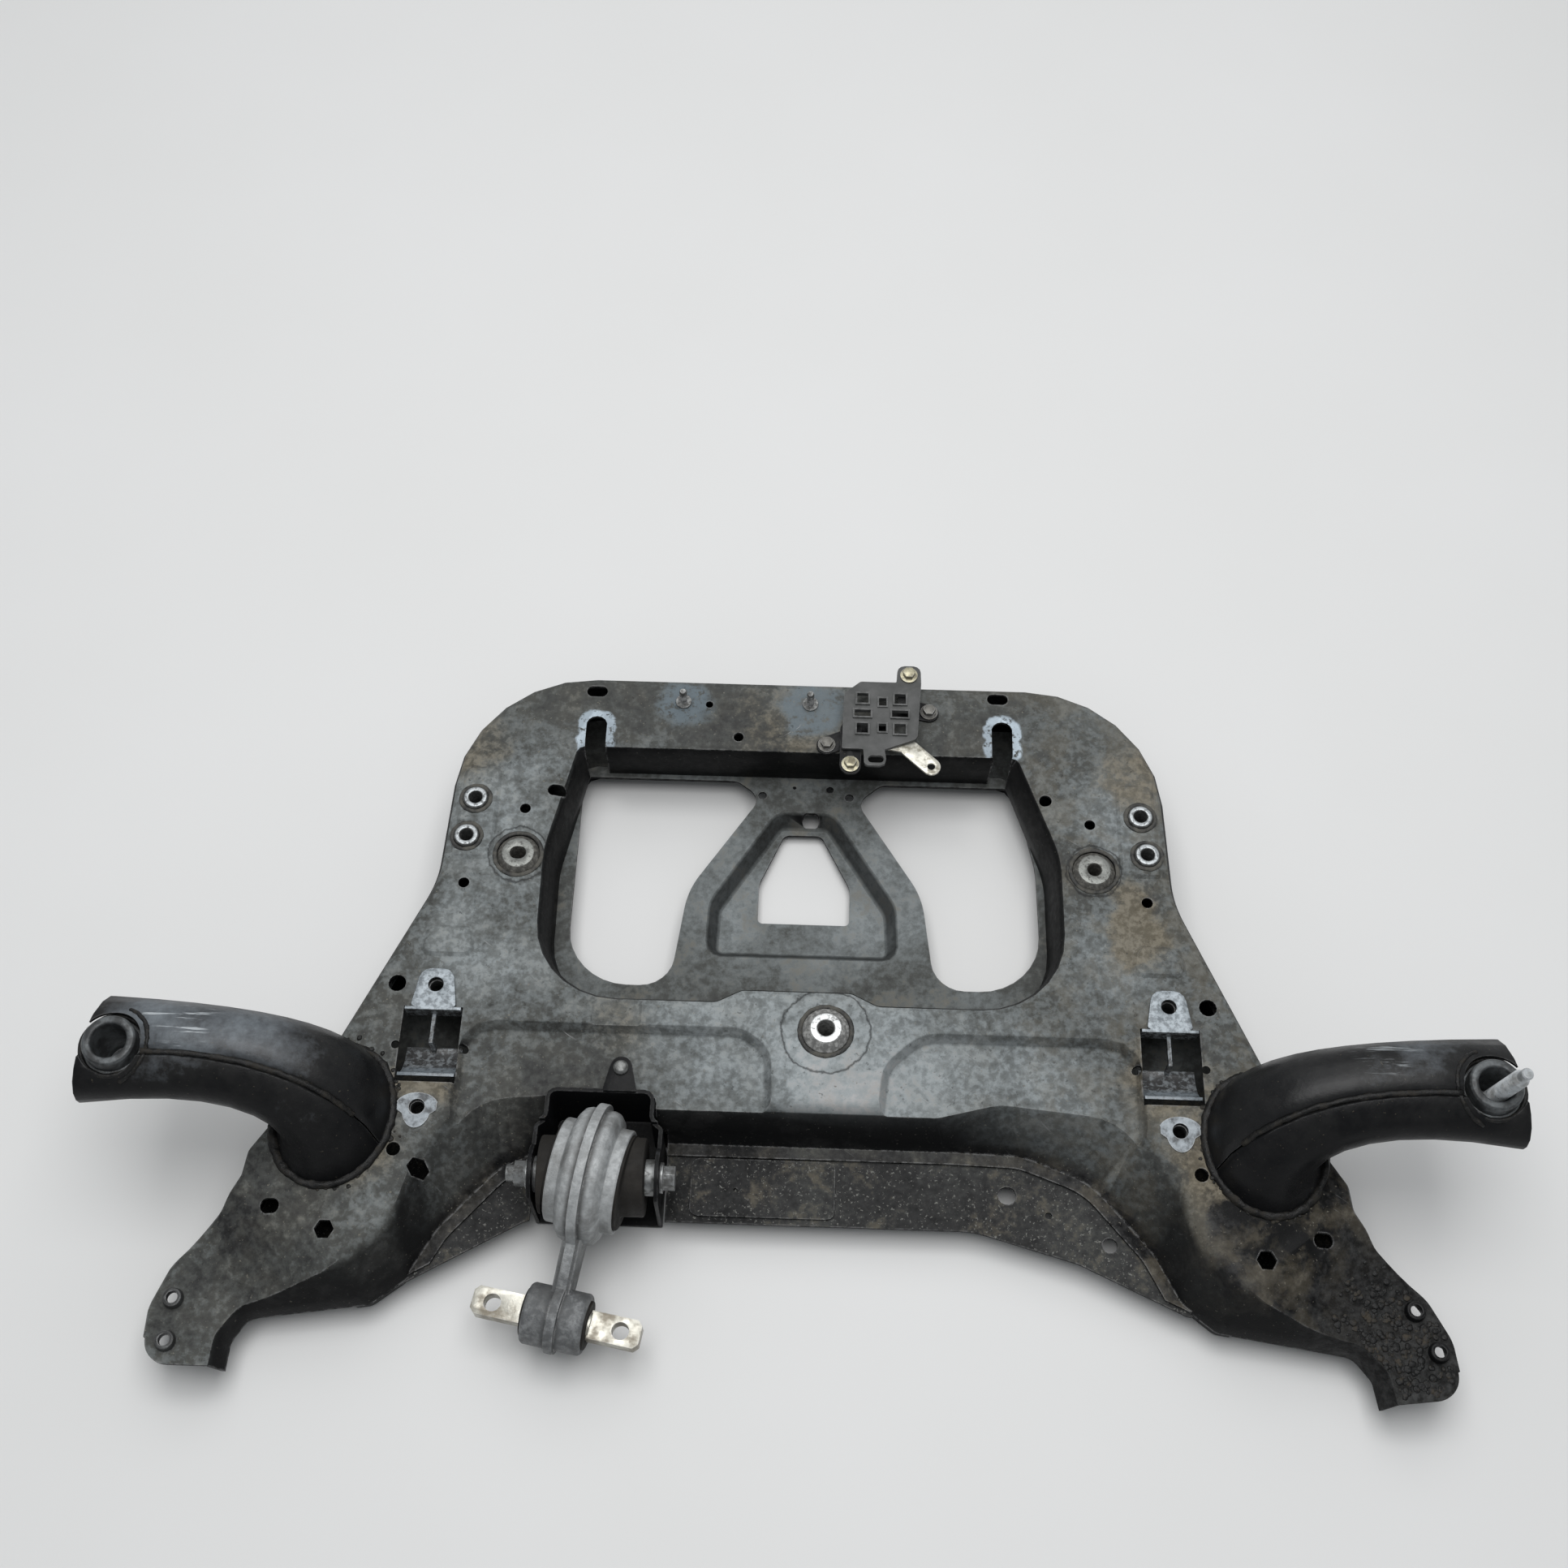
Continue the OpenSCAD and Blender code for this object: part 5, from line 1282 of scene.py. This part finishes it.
class SUBFRAME_OT_crust(Operator):
    """Put the lumps of grease on the right ear and the crust at the horns' roots"""

    bl_idname = "subframe.crust"
    bl_label = "Grease and Crust"

    def execute(self, context):
        top = surface("upper_shell")
        largest = sizes().lump_size
        chance = random.Random(7)
        rows = []
        while len(rows) < GREASE_LUMPS:
            x, y = chance.uniform(*GREASE_X), chance.uniform(*GREASE_Y)
            off = math.hypot((x - GREASE_MIDDLE[0]) / GREASE_HALF[0],
                             (y - GREASE_MIDDLE[1]) / GREASE_HALF[1])
            high = level_spot(top, x, y)
            near_nut = min(math.hypot(x - a, y - b) for a, b in EAR_NUTS) < NUT_CLEAR
            if high is None or near_nut or off + chance.uniform(0.0, 0.45) > 1.2:
                continue
            radius = largest * chance.uniform(0.2, 0.62)
            rows.append(((x, y, high), radius, chance.uniform(0.15, 0.42)))
        piece = lumps("ear_grease", rows)
        grease = crust_finish("grease", (0.010, 0.010, 0.010), (0.075, 0.062, 0.045), 0.6)
        finish_piece(piece, grease, "frame")
        rows = []
        for side in (-1, 1):
            for step in range(ROOT_LUMPS):
                place = foot_point(top, side, chance.uniform(*ROOT_TURNS))
                place.x -= side * abs(chance.gauss(0.0, ROOT_SPREAD)) * 0.8
                place.y += chance.gauss(0.0, ROOT_SPREAD)
                high = height_at(top, place.x, place.y)
                if high is not None:
                    radius = largest * chance.uniform(0.2, 0.5)
                    rows.append(((place.x, place.y, high), radius, chance.uniform(0.3, 0.6)))
        piece = lumps("root_crust", rows)
        crust = crust_finish("crust", (0.009, 0.009, 0.008), (0.045, 0.039, 0.030), 0.56)
        finish_piece(piece, crust, "frame")
        return {"FINISHED"}


FLOOR_SIZE = 14.0
SKY_COLOUR = (0.93, 0.97, 1.0, 1.0)
SKY_STRENGTH = 0.30
# Area lamps, as name, place in metres, turn in degrees, size in metres and power
LAMPS = (("top_panel", (0.0, 0.2, 2.8), (0.0, 0.0, 0.0), 2.4, 54.0),
         ("sky_panel", (0.0, 2.1, 2.9), (-36.0, 0.0, 0.0), 3.2, 31.0))
# The camera's place in metres, its turn in degrees, and its lens and sensor in millimetres
CAMERA_AT = (0.0061, -0.5666, 1.39)
CAMERA_TURN = (29.4, 0.0, 1.93)
CAMERA_LENS = 43.88
CAMERA_SENSOR = 36.0


def stand(data, place, turn):
    """Stands a lamp or the camera at its place, turned by degrees."""
    holder = bpy.data.objects.new(data.name, data)
    bpy.context.scene.collection.objects.link(holder)
    holder.location = place
    holder.rotation_euler = [math.radians(angle) for angle in turn]
    return holder


class SUBFRAME_OT_stage(Operator):
    """Set the floor, the light and the camera"""

    bl_idname = "subframe.stage"
    bl_label = "Stage"

    def execute(self, context):
        deselect()
        bpy.ops.mesh.primitive_plane_add(size=FLOOR_SIZE, location=(0, 0, 0))
        floor = context.active_object
        floor.name = "floor"
        material, nodes, shader, place = start_material("floor_paint")
        pale = nodes.mix(nodes.noise(place, 3.0, 3.0), rgba(colours().floor), grey(0.76))
        set_finish(nodes, shader, pale, 0.6)
        floor.data.materials.append(material)
        world = bpy.data.worlds.new("studio")
        context.scene.world = world
        world.use_nodes = True
        sky = world.node_tree.nodes["Background"].inputs
        sky["Color"].default_value = SKY_COLOUR
        sky["Strength"].default_value = SKY_STRENGTH
        for name, at, turn, size, power in LAMPS:
            light = bpy.data.lights.new(name, "AREA")
            light.size = size
            light.energy = power
            stand(light, at, turn)
        camera = bpy.data.cameras.new("photo_camera")
        camera.sensor_width = CAMERA_SENSOR
        camera.sensor_fit = "HORIZONTAL"
        camera.lens = CAMERA_LENS
        context.scene.camera = stand(camera, CAMERA_AT, CAMERA_TURN)
        context.scene.view_settings.view_transform = "Standard"
        return {"FINISHED"}


class SUBFRAME_PT_panel(Panel):
    """Lists the steps that build the subframe."""

    bl_label = "Front Subframe"
    bl_idname = "SUBFRAME_PT_panel"
    bl_space_type = "VIEW_3D"
    bl_region_type = "UI"
    bl_category = "Subframe"

    def draw(self, context):
        layout = self.layout
        for group in (context.scene.subframe_sizes, context.scene.subframe_colours):
            for name in group.__annotations__:
                layout.prop(group, name)
        for step in STEPS:
            layout.operator(step.bl_idname)


STEPS = (SUBFRAME_OT_shells, SUBFRAME_OT_horns, SUBFRAME_OT_studs, SUBFRAME_OT_collars, SUBFRAME_OT_rod,
         SUBFRAME_OT_plate, SUBFRAME_OT_welds, SUBFRAME_OT_crust, SUBFRAME_OT_stage)
CLASSES = (SubframeSizes, SubframeColours) + STEPS + (SUBFRAME_PT_panel,)


def register():
    for kind in CLASSES:
        bpy.utils.register_class(kind)
    bpy.types.Scene.subframe_sizes = PointerProperty(type=SubframeSizes)
    bpy.types.Scene.subframe_colours = PointerProperty(type=SubframeColours)


def unregister():
    del bpy.types.Scene.subframe_sizes
    del bpy.types.Scene.subframe_colours
    for kind in reversed(CLASSES):
        bpy.utils.unregister_class(kind)


def main():
    register()
    bpy.ops.subframe.shells()
    bpy.ops.subframe.horns()
    bpy.ops.subframe.studs()
    bpy.ops.subframe.collars()
    bpy.ops.subframe.rod()
    bpy.ops.subframe.plate()
    bpy.ops.subframe.welds()
    bpy.ops.subframe.crust()
    bpy.ops.subframe.stage()


if __name__ == "__main__":
    main()
